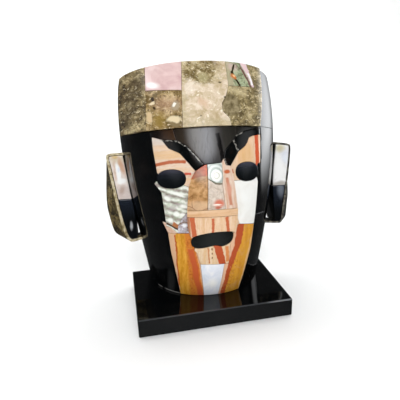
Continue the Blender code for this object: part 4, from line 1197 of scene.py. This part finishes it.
FACE_PLATES = {
    "left_strip_upper": ("left_1 left_2 left_3 left_4 left_5 left_eye left_6 left_7 left_8 left_9 left_spur"
                         " left_out_2 left_out_1", "face", "eye_left", "black_stone"),
    "left_strip_lower": ("left_spur left_10 left_11 left_12 left_13 left_out_3 left_out_2", "face", "",
                         "black_stone"),
    "right_strip_upper": ("right_out_1 right_out_2 right_6 right_5 right_eye right_4 right_3 right_2 fan_7"
                          " right_1", "face", "eye_right", "black_stone"),
    "right_strip_lower": ("right_out_2 right_out_3 right_10 right_9 right_8 right_7 right_6",
                          "face", "", "black_stone"),
    "forehead_side_stone": ("left_1 left_2 brow_left_tip side_stone_3 side_stone_2 side_stone_1",
                            "face", "", "brown_stone"),
    "forehead_stone": ("side_stone_1 side_stone_2 side_stone_3 brow_left_top brow_left_mid fan_left"
                       " bridge_left fan_right fan_1 fan_2 fan_3 fan_4 fan_5 fan_6 fan_7 right_1",
                       "face", "", "black_stone"),
    "left_brow_outer": ("brow_left_tip brow_left_bow brow_left_under brow_left_top side_stone_3",
                        "face", "", "black_stone"),
    "left_brow_inner": ("brow_left_top brow_left_under brow_left_foot fan_left brow_left_mid",
                        "face", "", "black_stone"),
    "right_brow_inner": ("fan_1 brow_right_foot brow_right_heel brow_right_side fan_3 fan_2",
                         "face", "", "black_stone"),
    "right_brow_outer": ("fan_3 brow_right_side brow_right_1 brow_right_2 brow_right_3 brow_right_4 right_2"
                         " fan_7 fan_6 fan_5 fan_4", "face", "", "black_stone"),
    "left_temple_onyx": ("left_2 left_3 left_4 left_5 left_eye eye_left lid_left nose_left_2 nose_left_1"
                         " brow_left_foot brow_left_under brow_left_bow brow_left_tip",
                         "face", "eye_left", "peach_onyx"),
    "right_temple_onyx": ("right_2 brow_right_4 brow_right_3 brow_right_2 brow_right_1 brow_right_side"
                          " brow_right_heel nose_right_1 lid_right eye_right right_eye right_4 right_3",
                          "face", "eye_right", "peach_onyx"),
    "left_cheek_abalone": ("left_eye left_6 left_7 left_8 left_9 cheek_strip_1 cheek_strip_2 cheek_strip_3"
                           " shard_1 shard_2 nose_left_4 nose_left_3 nose_left_2 lid_left eye_left",
                           "face", "eye_left", "abalone"),
    "left_cheek_shard": ("shard_1 cheek_strip_3 nose_left_7 nose_left_6 nose_left_5 nose_left_4 shard_2",
                         "face", "", "abalone"),
    "left_cheek_strip": ("left_spur left_10 cheek_strip_3 cheek_strip_2 cheek_strip_1 left_9",
                         "face", "", "pink_shell"),
    "right_cheek_pearl": ("nose_right_1 nose_right_2 nose_right_3 pearl_foot right_7 right_6 right_5"
                          " right_eye eye_right lid_right", "face", "eye_right", "pearl"),
    "right_cheek_wedge": ("nose_right_3 nose_right_4 nose_right_5 nose_right_6 wedge_foot pearl_foot",
                          "face", "", "tan_stone"),
    "left_jaw_onyx": ("left_10 left_11 left_12 left_13 chin_left_foot chin_left jaw_left_2 jaw_left_1"
                      " lip_left nose_left_7 cheek_strip_3", "face", "mouth", "orange_onyx"),
    "right_jaw_onyx": ("wedge_foot nose_right_6 lip_right jaw_right_1 chin_right_out chin_right"
                       " chin_right_foot right_10 right_9 right_8 right_7 pearl_foot",
                       "face", "mouth", "orange_onyx"),
    "chin_onyx": ("lip_left jaw_left_1 jaw_left_2 chin_left chin_right chin_right_out jaw_right_1 lip_right",
                  "face", "mouth", "peach_onyx"),
    "chin_pearl": ("chin_left chin_left_foot chin_right_foot chin_right", "face", "", "pearl"),
    "nose_left_flank": ("fan_left brow_left_foot nose_left_1 nose_left_2 nose_left_3 nose_left_4 front_left"
                        " bridge_left_low bridge_left", "nose", "", "tan_stone"),
    "nose_bridge_abalone": ("bridge_left bridge_left_low bridge_foot bridge_right_low bridge_right fan_right",
                            "nose", "", "abalone"),
    "nose_front_stone": ("bridge_left_low front_left front_right bridge_right_low bridge_foot",
                         "nose", "", "pink_stone"),
    "nose_right_flank": ("fan_right bridge_right bridge_right_low front_right nose_right_3 nose_right_2"
                         " nose_right_1 brow_right_heel brow_right_foot fan_1", "nose", "", "peach_onyx"),
    "nose_tip_band": ("nose_left_4 nose_left_5 nose_right_4 nose_right_3 front_right front_left",
                      "nose", "", "tan_stone"),
    "upper_lip_onyx": ("nose_left_5 nose_left_6 nose_left_7 lip_left lip_right nose_right_6 nose_right_5"
                       " nose_right_4", "nose", "mouth", "peach_onyx"),
    "headband_left_stone": ("band_left_top band_left_foot band_1_foot band_1_mid band_1_top",
                            "band", "", "olive_stone"),
    "headband_pink_shell": ("band_1_top band_1_mid band_2_mid band_2_top", "band", "", "pink_shell"),
    "headband_brown_stone": ("band_1_mid band_1_foot band_2_foot band_2_mid", "band", "", "olive_stone"),
    "headband_centre_stone": ("band_2_top band_2_mid band_2_foot band_3_foot band_3_d band_3_c band_3_b"
                              " band_3_a band_3_mid band_3_top", "band", "", "cream_stone"),
    "headband_abalone": ("band_3_top band_3_mid band_4_mid band_4_top", "band", "", "abalone"),
    "headband_right_stone": ("band_4_top band_4_mid band_3_mid band_3_a band_3_b band_3_c band_3_d"
                             " band_3_foot band_right_foot band_right_top", "band", "", "olive_stone"),
}

EYES = {"eye_left": (-28.3, 85.3, 10.1, 6.8), "eye_right": (26.8, 87.8, 10.0, 7.0)}
EYE_SQUARENESS = 2.3
MOUTH = ((-16.9, 40.5), (-14.2, 44), (-5.9, 46.3), (2.2, 47), (12.5, 46.2), (14.8, 44.4), (14.6, 39.5),
         (12, 36.2), (5.8, 34.1), (1.8, 36), (-3.2, 34.9), (-10.2, 33.7), (-14.5, 34.3), (-16.5, 36.8))
SET_STONES = {"left_eye_stone": "eye_left", "right_eye_stone": "eye_right", "mouth_stone": "mouth"}
print("plates drawn:", len(FACE_PLATES) + len(SET_STONES))


# %% [markdown]
# ## Bending the drawing round the head
#
# Three sheets carry plates: the face, the nose and lip that stand off it, and the headband that
# is a little thicker. A plate whose outline runs past its sheet is held to the sheet's edge, so
# the outer plates end in the same smooth line as the casting's recess.

# %% Sheets
NOSE_HEIGHT, LIP_HEIGHT = 6.0, 3.0
NOSE_AT = ((0.24, 0.5), (0.335, 0.92), (0.365, 1.0), (0.45, 0.62), (0.56, 0.08))
NOSE_TIP = 0.335 * HEAD["height"]
NOSE_SPAN = (angle_at(-19.0, NOSE_TIP), angle_at(17.5, NOSE_TIP))
SMOOTHING = np.linspace(-1.3, 1.3, 7)


def nose_relief(angle, w):
    """Height of the nose off the face: a profile up the face, rounded by averaging it over two
    millimetres, and lower towards both flanks by the cube of the distance from the middle."""
    shares, heights = zip(*NOSE_AT)
    near = (w[..., None] + SMOOTHING) / HEAD["height"]
    profile = np.interp(near, shares, heights) * NOSE_HEIGHT
    profile = np.mean(np.where(near < shares[0], LIP_HEIGHT, profile), axis=-1)
    middle, half = (NOSE_SPAN[0] + NOSE_SPAN[1]) / 2, (NOSE_SPAN[1] - NOSE_SPAN[0]) / 2
    return profile * (1.0 - 0.3 * np.abs((angle - middle) / half) ** 3)


def band_end(w):
    """The plan angle where the headband ends on the right, which grows evenly with the height."""
    return BAND_RIGHT[0] + (BAND_RIGHT[1] - BAND_RIGHT[0]) * (w - BAND_FOOT) / (HEAD["height"] - BAND_FOOT)


def held(outline, low_angle, high_angle, low_w, high_w, lift=0.0):
    """Outline points beyond a sheet's edges are moved straight to the edge."""
    x, w = outline.T
    for _ in range(3):
        angle = np.clip(angle_at(x, w, lift), low_angle, high_angle(w))
        w = np.clip(w, low_w(angle), high_w(angle))
        x = (half_width(w) + lift) * np.sin(np.radians(angle))
    return without_repeats(np.stack([x, w], axis=1))


def on_face(x, w, lift):
    """A place of the drawing on the face, which is the wall itself."""
    return wall(angle_at(x, w), w, lift)


def on_nose(x, w, lift):
    """A place of the drawing on the nose: the front is raised by its relief and the back isn't."""
    angle = angle_at(x, w)
    raised = np.where(lift <= -PLATE + REPEAT, lift, lift + nose_relief(angle, w))
    return wall(angle, w, raised)


def on_band(x, w, lift):
    """A place of the drawing on the headband: the front stands proud and the back doesn't."""
    raised = np.where(lift <= -PLATE + REPEAT, lift, lift + BAND_PROUD)
    return wall(angle_at(x, w, BAND_PROUD), w, raised)


SHEETS = {
    "face": (on_face, lambda line: held(line, -FACE_EDGE, lambda w: FACE_EDGE, foot_height,
                                        lambda angle: BAND_FOOT - JOINT / 2)),
    "nose": (on_nose, lambda line: line),
    "band": (on_band, lambda line: held(line, BAND_LEFT, band_end, lambda angle: BAND_FOOT + JOINT / 2,
                                        top_height, BAND_PROUD)),
}


def eye_outline(centre_x, centre_w, half_x, half_w):
    """A softly squared oval: cosine and sine to the power of two over its squareness."""
    turn = np.linspace(0.0, 2.0 * math.pi, 96, endpoint=False)
    c, s = np.cos(turn), np.sin(turn)
    power = 2.0 / EYE_SQUARENESS
    return np.stack([centre_x + half_x * np.sign(c) * np.abs(c) ** power,
                     centre_w + half_w * np.sign(s) * np.abs(s) ** power], axis=1)


def softened(line, times, closed):
    """Cuts each corner at a quarter of its sides, as many times as asked; an open line keeps its ends."""
    for _ in range(times):
        here, after = (line, np.roll(line, -1, axis=0)) if closed else (line[:-1], line[1:])
        cut = np.stack([0.75 * here + 0.25 * after, 0.25 * here + 0.75 * after], axis=1).reshape(-1, 2)
        line = cut if closed else np.concatenate([line[:1], cut[1:-1], line[-1:]])
    return line


def stone_outline(name):
    """The outline of an eye or of the mouth."""
    if name in EYES:
        return eye_outline(*EYES[name])
    return softened(np.array(MOUTH, float), 2, True)


# %% Cut all plates
FINISH_OF = {**BLACKS, **JASPERS, **ONYXES, **NOSES, **SHELLS}
SEAM = 0.12


def cut_all():
    """Cuts every plate out of its sheet, and every set stone into its hole."""
    for name, (corners, sheet, stone, slot) in FACE_PLATES.items():
        surface, hold = SHEETS[sheet]
        corner_line = anticlockwise(np.array([CORNERS[corner] for corner in corners.split()], float))
        line = hold(walked(inset(corner_line, SEAM)))
        hole = walked(anticlockwise(stone_outline(stone))) if stone else None
        cut_plate(name, line, hole, surface, FINISH_OF.get(name, black))
    for name, stone in SET_STONES.items():
        line = walked(inset(anticlockwise(stone_outline(stone)), JOINT))
        cut_plate(name, line, None, on_face, FINISH_OF[name])


cut_all()
print("plates cut:", len(PIECES))

# %% [markdown]
# ## The casting
#
# Behind the plates is one hollow casting. Its wall is a closed profile, up the outside, round
# the rim and down the inside, carried along the plan angle. Two cutters of the same kind take
# out the bed of the face and the bed of the headband, and the ears grow out of its sides.

# %% Wall along the plan
RIM_ROUND = 1.4


def slab_points(angles, lifts, shares, low, high, slant=0.0):
    """Each profile point has a lift and a share of the height, and is carried along all angles."""
    angle, lift = np.meshgrid(angles, lifts, indexing="ij")
    start = angle
    w = low(angle, lift) + shares * (high(angle, lift) - low(angle, lift))
    for _ in range(3):
        angle = start + slant * (start - BAND_LEFT) / (BAND_RIGHT[0] - BAND_LEFT) * (w - BAND_FOOT)
        foot, top = low(angle, lift), high(angle, lift)
        w = foot + shares * (top - foot)
    return wall(angle, w, lift)


def tube_walls(steps, around):
    """The squares between each ring of points and the next."""
    a, p = np.meshgrid(np.arange(steps - 1), np.arange(around), indexing="ij")
    q = (p + 1) % around
    return np.stack([a * around + p, (a + 1) * around + p, (a + 1) * around + q, a * around + q],
                    axis=-1).reshape(-1, 4).tolist()


def tube_faces(steps, around):
    """Faces of a closed profile carried over a number of steps, with both ends capped by pairs."""
    i = np.arange(around // 2 - 1)
    start = np.stack([i, i + 1, around - 2 - i, around - 1 - i], axis=1)
    end = start[:, ::-1] + (steps - 1) * around
    return tube_walls(steps, around) + start.tolist() + end.tolist()


def rounded_profile(rows):
    """Up the outside, over a rounded top and down the inside; the feet stay square."""
    r = RIM_ROUND
    bend = np.radians(np.linspace(15.0, 75.0, 5))
    height, wide = HEAD["height"], HEAD["wall"]
    straight = np.linspace(0.0, 1.0 - r / height, rows)
    out_lift = np.concatenate([np.zeros(rows), -r * (1.0 - np.cos(bend)), [-r]])
    out_share = np.concatenate([straight, 1.0 - r / height * (1.0 - np.sin(bend)), [1.0]])
    return np.concatenate([out_lift, -wide - out_lift[::-1]]), np.concatenate([out_share, out_share[::-1]])


def helper(name, points, faces):
    """A mesh that is only a tool: it is used by a Boolean and then taken away."""
    mesh = bpy.data.meshes.new(name)
    mesh.from_pydata(points.reshape(-1, 3).tolist(), [], faces)
    made = bpy.data.objects.new(name, mesh)
    bpy.context.scene.collection.objects.link(made)
    return made


def combine(target, tool, operation):
    """Joins or cuts two closed meshes and keeps the result as the target's own mesh."""
    step = target.modifiers.new(operation.lower(), "BOOLEAN")
    step.operation, step.object, step.solver = operation, tool, "MANIFOLD"
    bpy.context.view_layer.update()
    result = bpy.data.meshes.new_from_object(target.evaluated_get(bpy.context.evaluated_depsgraph_get()))
    target.modifiers.clear()
    target.data = result
    bpy.data.objects.remove(tool)


def block_profile(low_lift, high_lift, rows):
    """A plain thick sheet: its outside up and its inside down."""
    share = np.linspace(0.0, 1.0, rows)
    return (np.concatenate([np.full(rows, high_lift), np.full(rows, low_lift)]),
            np.concatenate([share, share[::-1]]))


CLEAR, OVER = 0.4, 12.0
SIDE_END, BEYOND = 99.0, 20.0


def make_casting():
    """The hollow wall carried along all plan angles, less the beds of the face and the headband."""
    angles = np.concatenate([np.linspace(-SIDE_END, -90.0, 6)[:-1], np.linspace(-90.0, 90.0, 181),
                             np.linspace(90.0, SIDE_END, 6)[1:]])
    lifts, shares = rounded_profile(90)
    body = helper("casting", slab_points(angles, lifts, shares, foot_height, top_height),
                  tube_faces(len(angles), len(lifts)))
    face_angles = np.linspace(-FACE_EDGE - CLEAR, FACE_EDGE + CLEAR, 121)
    lifts, shares = block_profile(-PLATE - JOINT, OVER, 80)
    face = helper("face bed", slab_points(face_angles, lifts, shares, lambda a, l: foot_height(a, l) - BEYOND,
                                          lambda a, l: np.full_like(a, BAND_FOOT + JOINT / 2)),
                  tube_faces(len(face_angles), len(lifts)))
    band_angles = np.linspace(BAND_LEFT - CLEAR, BAND_RIGHT[0] + CLEAR, 109)
    lifts, shares = block_profile(-PLATE - 2.0 * JOINT, OVER, 40)
    slant = (BAND_RIGHT[1] - BAND_RIGHT[0]) / (HEAD["height"] - BAND_FOOT)
    band = helper("band bed", slab_points(band_angles, lifts, shares,
                                          lambda a, l: np.full_like(a, BAND_FOOT - JOINT / 2),
                                          lambda a, l: top_height(a) + BEYOND, slant),
                  tube_faces(len(band_angles), len(lifts)))
    combine(body, band, "DIFFERENCE")
    combine(body, face, "DIFFERENCE")
    return body


casting = make_casting()
print("casting:", len(casting.data.polygons), "faces")

# %% [markdown]
# ## The ears
#
# Each ear is a rim of stone bent round a block of the casting, with a plate of pearl above and
# one of black stone below on its front. The rim is a small rounded profile carried along the
# ear's outline. The outline flares outwards towards the back.

# %% Ear lines
EARS = {
    "left": ((64, 107.6), (76.4, 107.4), (78, 104.3), (75.6, 90), (73.5, 76), (71.4, 62.5), (69.7, 53.5),
             (67.7, 44.5), (65.7, 37.8), (63.5, 33.9), (60.5, 32.6), (51, 34.6)),
    "right": ((64, 110.7), (78, 108.8), (79.5, 106), (77.7, 91), (75.3, 76), (73, 63), (71.4, 54),
              (70.4, 47.5), (69.8, 43.5), (68.6, 40.8), (66.4, 39.8), (54.5, 41.2)),
}
EAR_INNER = {
    "left": ((37, 56.5), (58, 57.3), (72, 59.7), (86, 61.6), (108, 64.5)),
    "right": ((37, 63), (58, 62.5), (72, 62.3), (86, 63), (108, 66.2)),
}
EAR_SPLIT = {"left": 69.0, "right": 73.0}
FLARE_AT = ((33, 0.6), (38, 1.0), (66, 0.96), (108, 0.1))
EAR_FRONT, EAR_DEPTH, EAR_FLARE, EAR_ROOT = 22.0, 24.0, 11.5, 4.0
EAR_RIM = {"left": 2.2, "right": 1.4}
RIM_SOFTNESS, INNER_CLEAR = 0.3, 0.8
EAR_SLOT_TOP = {"left": 52.0, "right": 63.0}
SOFTER = 3


def side_of_head(y, w):
    """Half the head's width at a depth: the ellipse's half width, full from its middle backwards."""
    return half_width(w) * np.sqrt(1.0 - (np.minimum(y, 0.0) / depth(w)) ** 2)


def ear_line(side, margin, y):
    """The ear's outline in by a margin, with its outer side flared by how far back it is."""
    line = np.array(EARS[side], float)
    closed = np.concatenate([line, [(0.0, line[-1, 1]), (0.0, line[0, 1])]])
    drawn_in = inset(closed[::-1], margin)[::-1][:len(line)]
    heights, shares = zip(*FLARE_AT)
    flare = EAR_FLARE * (y + EAR_FRONT) / EAR_DEPTH * np.interp(line[:, 1], heights, shares)
    drawn_in[:, 0] += flare
    return drawn_in


def ear_inner_edge(side, w):
    """The line where the ear's front ends beside the head, straight between its stations."""
    return np.interp(w, *zip(*EAR_INNER[side]))


def rim_line(side, share, y):
    """The line through the rim a share of the way from its outside to its inside."""
    line = (1.0 - share) * ear_line(side, 0.0, y) + share * ear_line(side, EAR_RIM[side], y)
    line[[0, -1], 0] = side_of_head(y, line[[0, -1], 1]) + JOINT
    return softened(line, SOFTER, False)


def ear_rim(side, hand):
    """A rounded square profile, out at the back, round the front edge and in again."""
    r = RIM_SOFTNESS * EAR_RIM[side]
    bend = np.radians(np.linspace(0.0, 90.0, 5))
    back = np.linspace(EAR_DEPTH - EAR_FRONT, r - EAR_FRONT, 10)
    y = np.concatenate([back[:-1], -EAR_FRONT + r * (1.0 - np.sin(bend))])
    share = np.concatenate([np.zeros(len(back) - 1), r * (1.0 - np.cos(bend)) / EAR_RIM[side]])
    y, share = np.concatenate([y, y[::-1]]), np.concatenate([share, 1.0 - share[::-1]])
    lines = np.stack([rim_line(side, s, place) for s, place in zip(share, y)], axis=1)
    depths = np.broadcast_to(y, lines.shape[:2])
    points = on_stand(hand * lines[..., 0], depths, lines[..., 1])
    faces = tube_faces(lines.shape[0], lines.shape[1])
    if hand > 0:
        faces = [face[::-1] for face in faces]
    return points.reshape(-1, 3), faces


def ear_front(side, y, rooted):
    """The closed outline inside the rim; a rooted one grows back into the head above the slot."""
    line = softened(ear_line(side, EAR_RIM[side] + JOINT, y), SOFTER, False)
    line = line[line[:, 0] > ear_inner_edge(side, line[:, 1]) + INNER_CLEAR]
    back = (y + EAR_FRONT) / EAR_DEPTH if rooted else 0.0
    slot_top = EAR_SLOT_TOP[side]
    w = np.concatenate([np.linspace(line[-1, 1], slot_top, 6),
                        np.linspace(slot_top + EAR_ROOT, line[0, 1], 9)])
    free = ear_inner_edge(side, w)
    root = side_of_head(y, w) - EAR_ROOT
    edge = np.where(w > slot_top, free + (root - free) * back, free)
    return line, np.stack([edge, w], axis=1)


def clipped(outline, level, above):
    """The part of a closed outline above or below a height, with the crossings put in."""
    after = np.roll(outline, -1, axis=0)
    kept = (outline[:, 1] > level) == above
    crossing = kept != np.roll(kept, -1)
    rise = np.where(crossing, after[:, 1] - outline[:, 1], 1.0)
    met = outline + ((level - outline[:, 1]) / rise)[:, None] * (after - outline)
    order = np.concatenate([np.flatnonzero(kept), np.flatnonzero(crossing) + 0.5])
    return np.concatenate([outline[kept], met[crossing]])[np.argsort(order)]


# %% Make the ears
def even_steps(line, count):
    """The open line again with a set number of evenly spaced points."""
    long = np.concatenate([[0.0], np.cumsum(np.hypot(*np.diff(line, axis=0).T))])
    at = np.linspace(0.0, long[-1], count)
    return np.stack([np.interp(at, long, line[:, 0]), np.interp(at, long, line[:, 1])], axis=1)


def ear_block(side, hand):
    """Outlines from behind the plates to the back of the ear, joined into a closed block."""
    y = np.linspace(PLATE - EAR_FRONT, EAR_DEPTH - EAR_FRONT, 12)
    rings = []
    for place in y:
        line, edge = ear_front(side, place, True)
        rings.append(np.concatenate([even_steps(line, 80), edge]))
    rings = np.stack(rings)
    points = on_stand(hand * rings[..., 0], np.broadcast_to(y[:, None], rings.shape[:2]), rings[..., 1])
    steps, around = rings.shape[:2]
    caps = [list(range(around)), list(range((steps - 1) * around, steps * around))[::-1]]
    faces = tube_walls(steps, around) + caps
    if hand > 0:
        faces = [face[::-1] for face in faces]
    return points.reshape(-1, 3), faces


def outward(points, faces):
    """Turns all faces over if the closed mesh they make has a negative volume."""
    fan = np.array([(face[0], face[i], face[i + 1]) for face in faces for i in range(1, len(face) - 1)])
    corners = points[fan]
    volume = np.sum(np.cross(corners[:, 0], corners[:, 1]) * corners[:, 2])
    return faces if volume > 0 else [face[::-1] for face in faces]


def make_ear(side):
    """The rim, the block that joins the casting, and the two plates cut from one flat front."""
    hand = -1.0 if side == "left" else 1.0
    points, faces = ear_rim(side, hand)
    add_piece(f"{side}_ear_rim", points, outward(points, faces), FINISH_OF[f"{side}_ear_rim"])
    points, faces = ear_block(side, hand)
    combine(casting, helper(f"{side} ear block", points, outward(points, faces)), "UNION")
    line, edge = ear_front(side, -EAR_FRONT, False)
    outline = np.concatenate([line, edge])
    split = EAR_SPLIT[side]

    def on_ear(x, w, lift):
        return on_stand(x, -EAR_FRONT - lift, w)

    for piece, level, above, slot in (("shell", split + JOINT / 2, True, "pearl"),
                                      ("black", split - JOINT / 2, False, "black_stone")):
        name = f"{side}_ear_{piece}"
        part = clipped(outline, level, above) * (hand, 1.0)
        part = walked(without_repeats(anticlockwise(part)))
        cut_plate(name, part, None, on_ear, FINISH_OF.get(name, black), edge_round=0.5)


for side in EARS:
    make_ear(side)
finish_edges(casting.data)
casting.data.materials.clear()
casting.data.materials.append(cast)
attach(casting, "root")
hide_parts("mask_core")
print("ears made; casting now", len(casting.data.polygons), "faces")

# %% [markdown]
# ## The stand
#
# The slab under the mask is a plain polished block with its edges taken off. The CAD solid
# already has that shape, so it stays and only gets its stone.

# %% Stand
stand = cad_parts["stand"]
stand.data.materials.clear()
stand.data.materials.append(slab)

# %% [markdown]
# ## Studio
#
# Glossy black stone shows the room more than itself, so the room is mostly dark: the pale floor
# and wall only give light to the eye, not to reflections, and a few soft lamps are placed where
# the real piece shows a gleam. Large lamps give soft shadows.

# %% Floor, backdrop and lamps
FLOOR_GAP = 0.0002


def backdrop():
    """A floor that sweeps up into a wall: a line forward, a quarter circle, and a line up."""
    radius, front, back, reach, height = 0.5, -1.6, 1.1, 3.0, 3.0
    bend = np.radians(np.linspace(0.0, 90.0, 24))
    y = np.concatenate([[front], back + radius * np.sin(bend), [back + radius]])
    z = np.concatenate([[0.0], radius * (1.0 - np.cos(bend)), [height]])
    x = np.linspace(-reach, reach, 9)
    across, along = np.meshgrid(x, np.arange(len(y)), indexing="ij")
    points = np.stack([across, y[along], z[along] - FLOOR_GAP], axis=-1).reshape(-1, 3)
    a, p = np.meshgrid(np.arange(len(x) - 1), np.arange(len(y) - 1), indexing="ij")
    n = len(y)
    faces = np.stack([a * n + p, (a + 1) * n + p, (a + 1) * n + p + 1, a * n + p + 1], axis=-1).reshape(-1, 4)
    mesh = bpy.data.meshes.new("backdrop")
    mesh.from_pydata(points.tolist(), [], faces.tolist())
    mesh.shade_smooth()
    made = bpy.data.objects.new("backdrop", mesh)
    bpy.context.scene.collection.objects.link(made)
    paper = Finish("pale paper", mapped=False)
    shade = paper.ramp(paper.noise(0.004, 3.0), (0.3, (248, 248, 247)), (0.7, (251, 251, 250)))
    mesh.materials.append(paper.polish(shade, 0.8, 0.05, 0.0))
    made.visible_glossy = False
    return made


def lamp(name, place, aim, size, power):
    """A soft rectangular lamp at a place, pointed at another; polished stone doesn't show it."""
    light = bpy.data.lights.new(name, "AREA")
    light.shape = "RECTANGLE"
    light.size, light.size_y = size
    light.energy = power
    made = bpy.data.objects.new(name, light)
    way = Vector(aim) - Vector(place)
    made.matrix_world = Matrix.Translation(place) @ way.to_track_quat("-Z", "Y").to_matrix().to_4x4()
    made.visible_glossy = False
    bpy.context.scene.collection.objects.link(made)
    return made


backdrop()
lamp("overhead", (0.0, -0.3, 1.5), (0.0, 0.0, 0.0), (2.2, 2.2), 6.6)
lamp("front fill", (-0.3, -1.5, 0.5), (0.0, 0.0, 0.1), (1.8, 1.2), 6.8)
lamp("backdrop wash", (0.0, 0.6, 1.9), (0.0, 1.3, 0.0), (3.0, 1.0), 26.0)

# %% [markdown]
# ## What the polish reflects
#
# A real studio has white cards that show as soft gleams in polished stone. Here the sky itself
# holds them: each gleam is an oval of light in one direction, bright in its middle and fading to
# nothing at its rim, on a nearly black surround. One larger card stands behind on the right. It
# fades out downwards and is brightest on one side, as the strip beside the face shows it. The
# camera itself sees a pale sky past the ends of the backdrop.

# %% Gleams
GLEAMS = (
    ("over the forehead", -8.0, 47.0, 26.0, 4.6),
    ("left high", -106.0, 50.0, 8.0, 2.6),
    ("right of the eyes", 74.0, 18.0, 20.0, 0.6),
    ("left of the eyes", -66.0, 19.0, 20.0, 0.5),
    ("low in front", 5.0, -42.0, 30.0, 0.25),
)
CARD_AT, CARD_EDGE, CARD_FADE = (125.0, 4.0), (25.5, 22.0), (-18.0, 2.0)
BRIGHT_AT, BRIGHT_EDGE, CARD_POWER = (100.0, 6.0), (40.0, 12.0), (0.8, 4.6)
SURROUND, PALE_SKY = 0.05, 0.95


def direction(azimuth, elevation):
    """Unit vector from the object: azimuth is 0 towards the front and grows to the right."""
    a, e = math.radians(azimuth), math.radians(elevation)
    return (math.sin(a) * math.cos(e), -math.cos(a) * math.cos(e), math.sin(e))


def make_world():
    """Background strength is a small constant and, for each gleam, a smooth step of the angle to it."""
    world = bpy.data.worlds.new("studio")
    bpy.context.scene.world = world
    world.use_nodes = True
    tree = world.node_tree
    way = tree.nodes.new("ShaderNodeTexCoord").outputs["Generated"]

    def joined(kind, *values, **settings):
        made = tree.nodes.new("ShaderNode" + kind)
        for key, value in settings.items():
            setattr(made, key, value)
        for socket, value in zip(made.inputs, values):
            if isinstance(value, bpy.types.NodeSocket):
                tree.links.new(value, socket)
            elif value is not None:
                socket.default_value = value
        return made

    def near(place, radii, low=0.0, high=1.0, **settings):
        """From low to high as the angle to a place in the sky shrinks from one radius to the other."""
        cosine = joined("VectorMath", way, direction(*place), operation="DOT_PRODUCT").outputs["Value"]
        outer, inner = (math.cos(math.radians(radius)) for radius in radii)
        return joined("MapRange", cosine, outer, inner, low, high, **settings).outputs[0]

    def reckoned(operation, first, second):
        return joined("Math", first, second, operation=operation).outputs[0]

    soft = {"interpolation_type": "SMOOTHSTEP"}
    total = SURROUND
    for _, azimuth, elevation, radius, power in GLEAMS:
        total = reckoned("ADD", near((azimuth, elevation), (radius, 0.0), 0.0, power, **soft), total)
    height = joined("SeparateXYZ", way).outputs["Z"]
    low, high = (math.sin(math.radians(angle)) for angle in CARD_FADE)
    fading = joined("MapRange", height, low, high, 0.0, 1.0, **soft).outputs[0]
    card = reckoned("MULTIPLY", near(CARD_AT, CARD_EDGE, **soft), fading)
    card = reckoned("MULTIPLY", card, near(BRIGHT_AT, BRIGHT_EDGE, *CARD_POWER))
    total = reckoned("ADD", total, card)
    seen = joined("LightPath").outputs["Is Camera Ray"]
    total = joined("MapRange", seen, 0.0, 1.0, total, PALE_SKY).outputs[0]
    ground = tree.nodes["Background"]
    ground.inputs["Color"].default_value = (0.96, 0.98, 1.0, 1.0)
    tree.links.new(total, ground.inputs["Strength"])


make_world()
print("gleams:", [name for name, *_ in GLEAMS])

# %% [markdown]
# ## The count
#
# The last cell prints how many pieces were made.

# %% Finish
print("pieces:", len(PIECES) + 2)
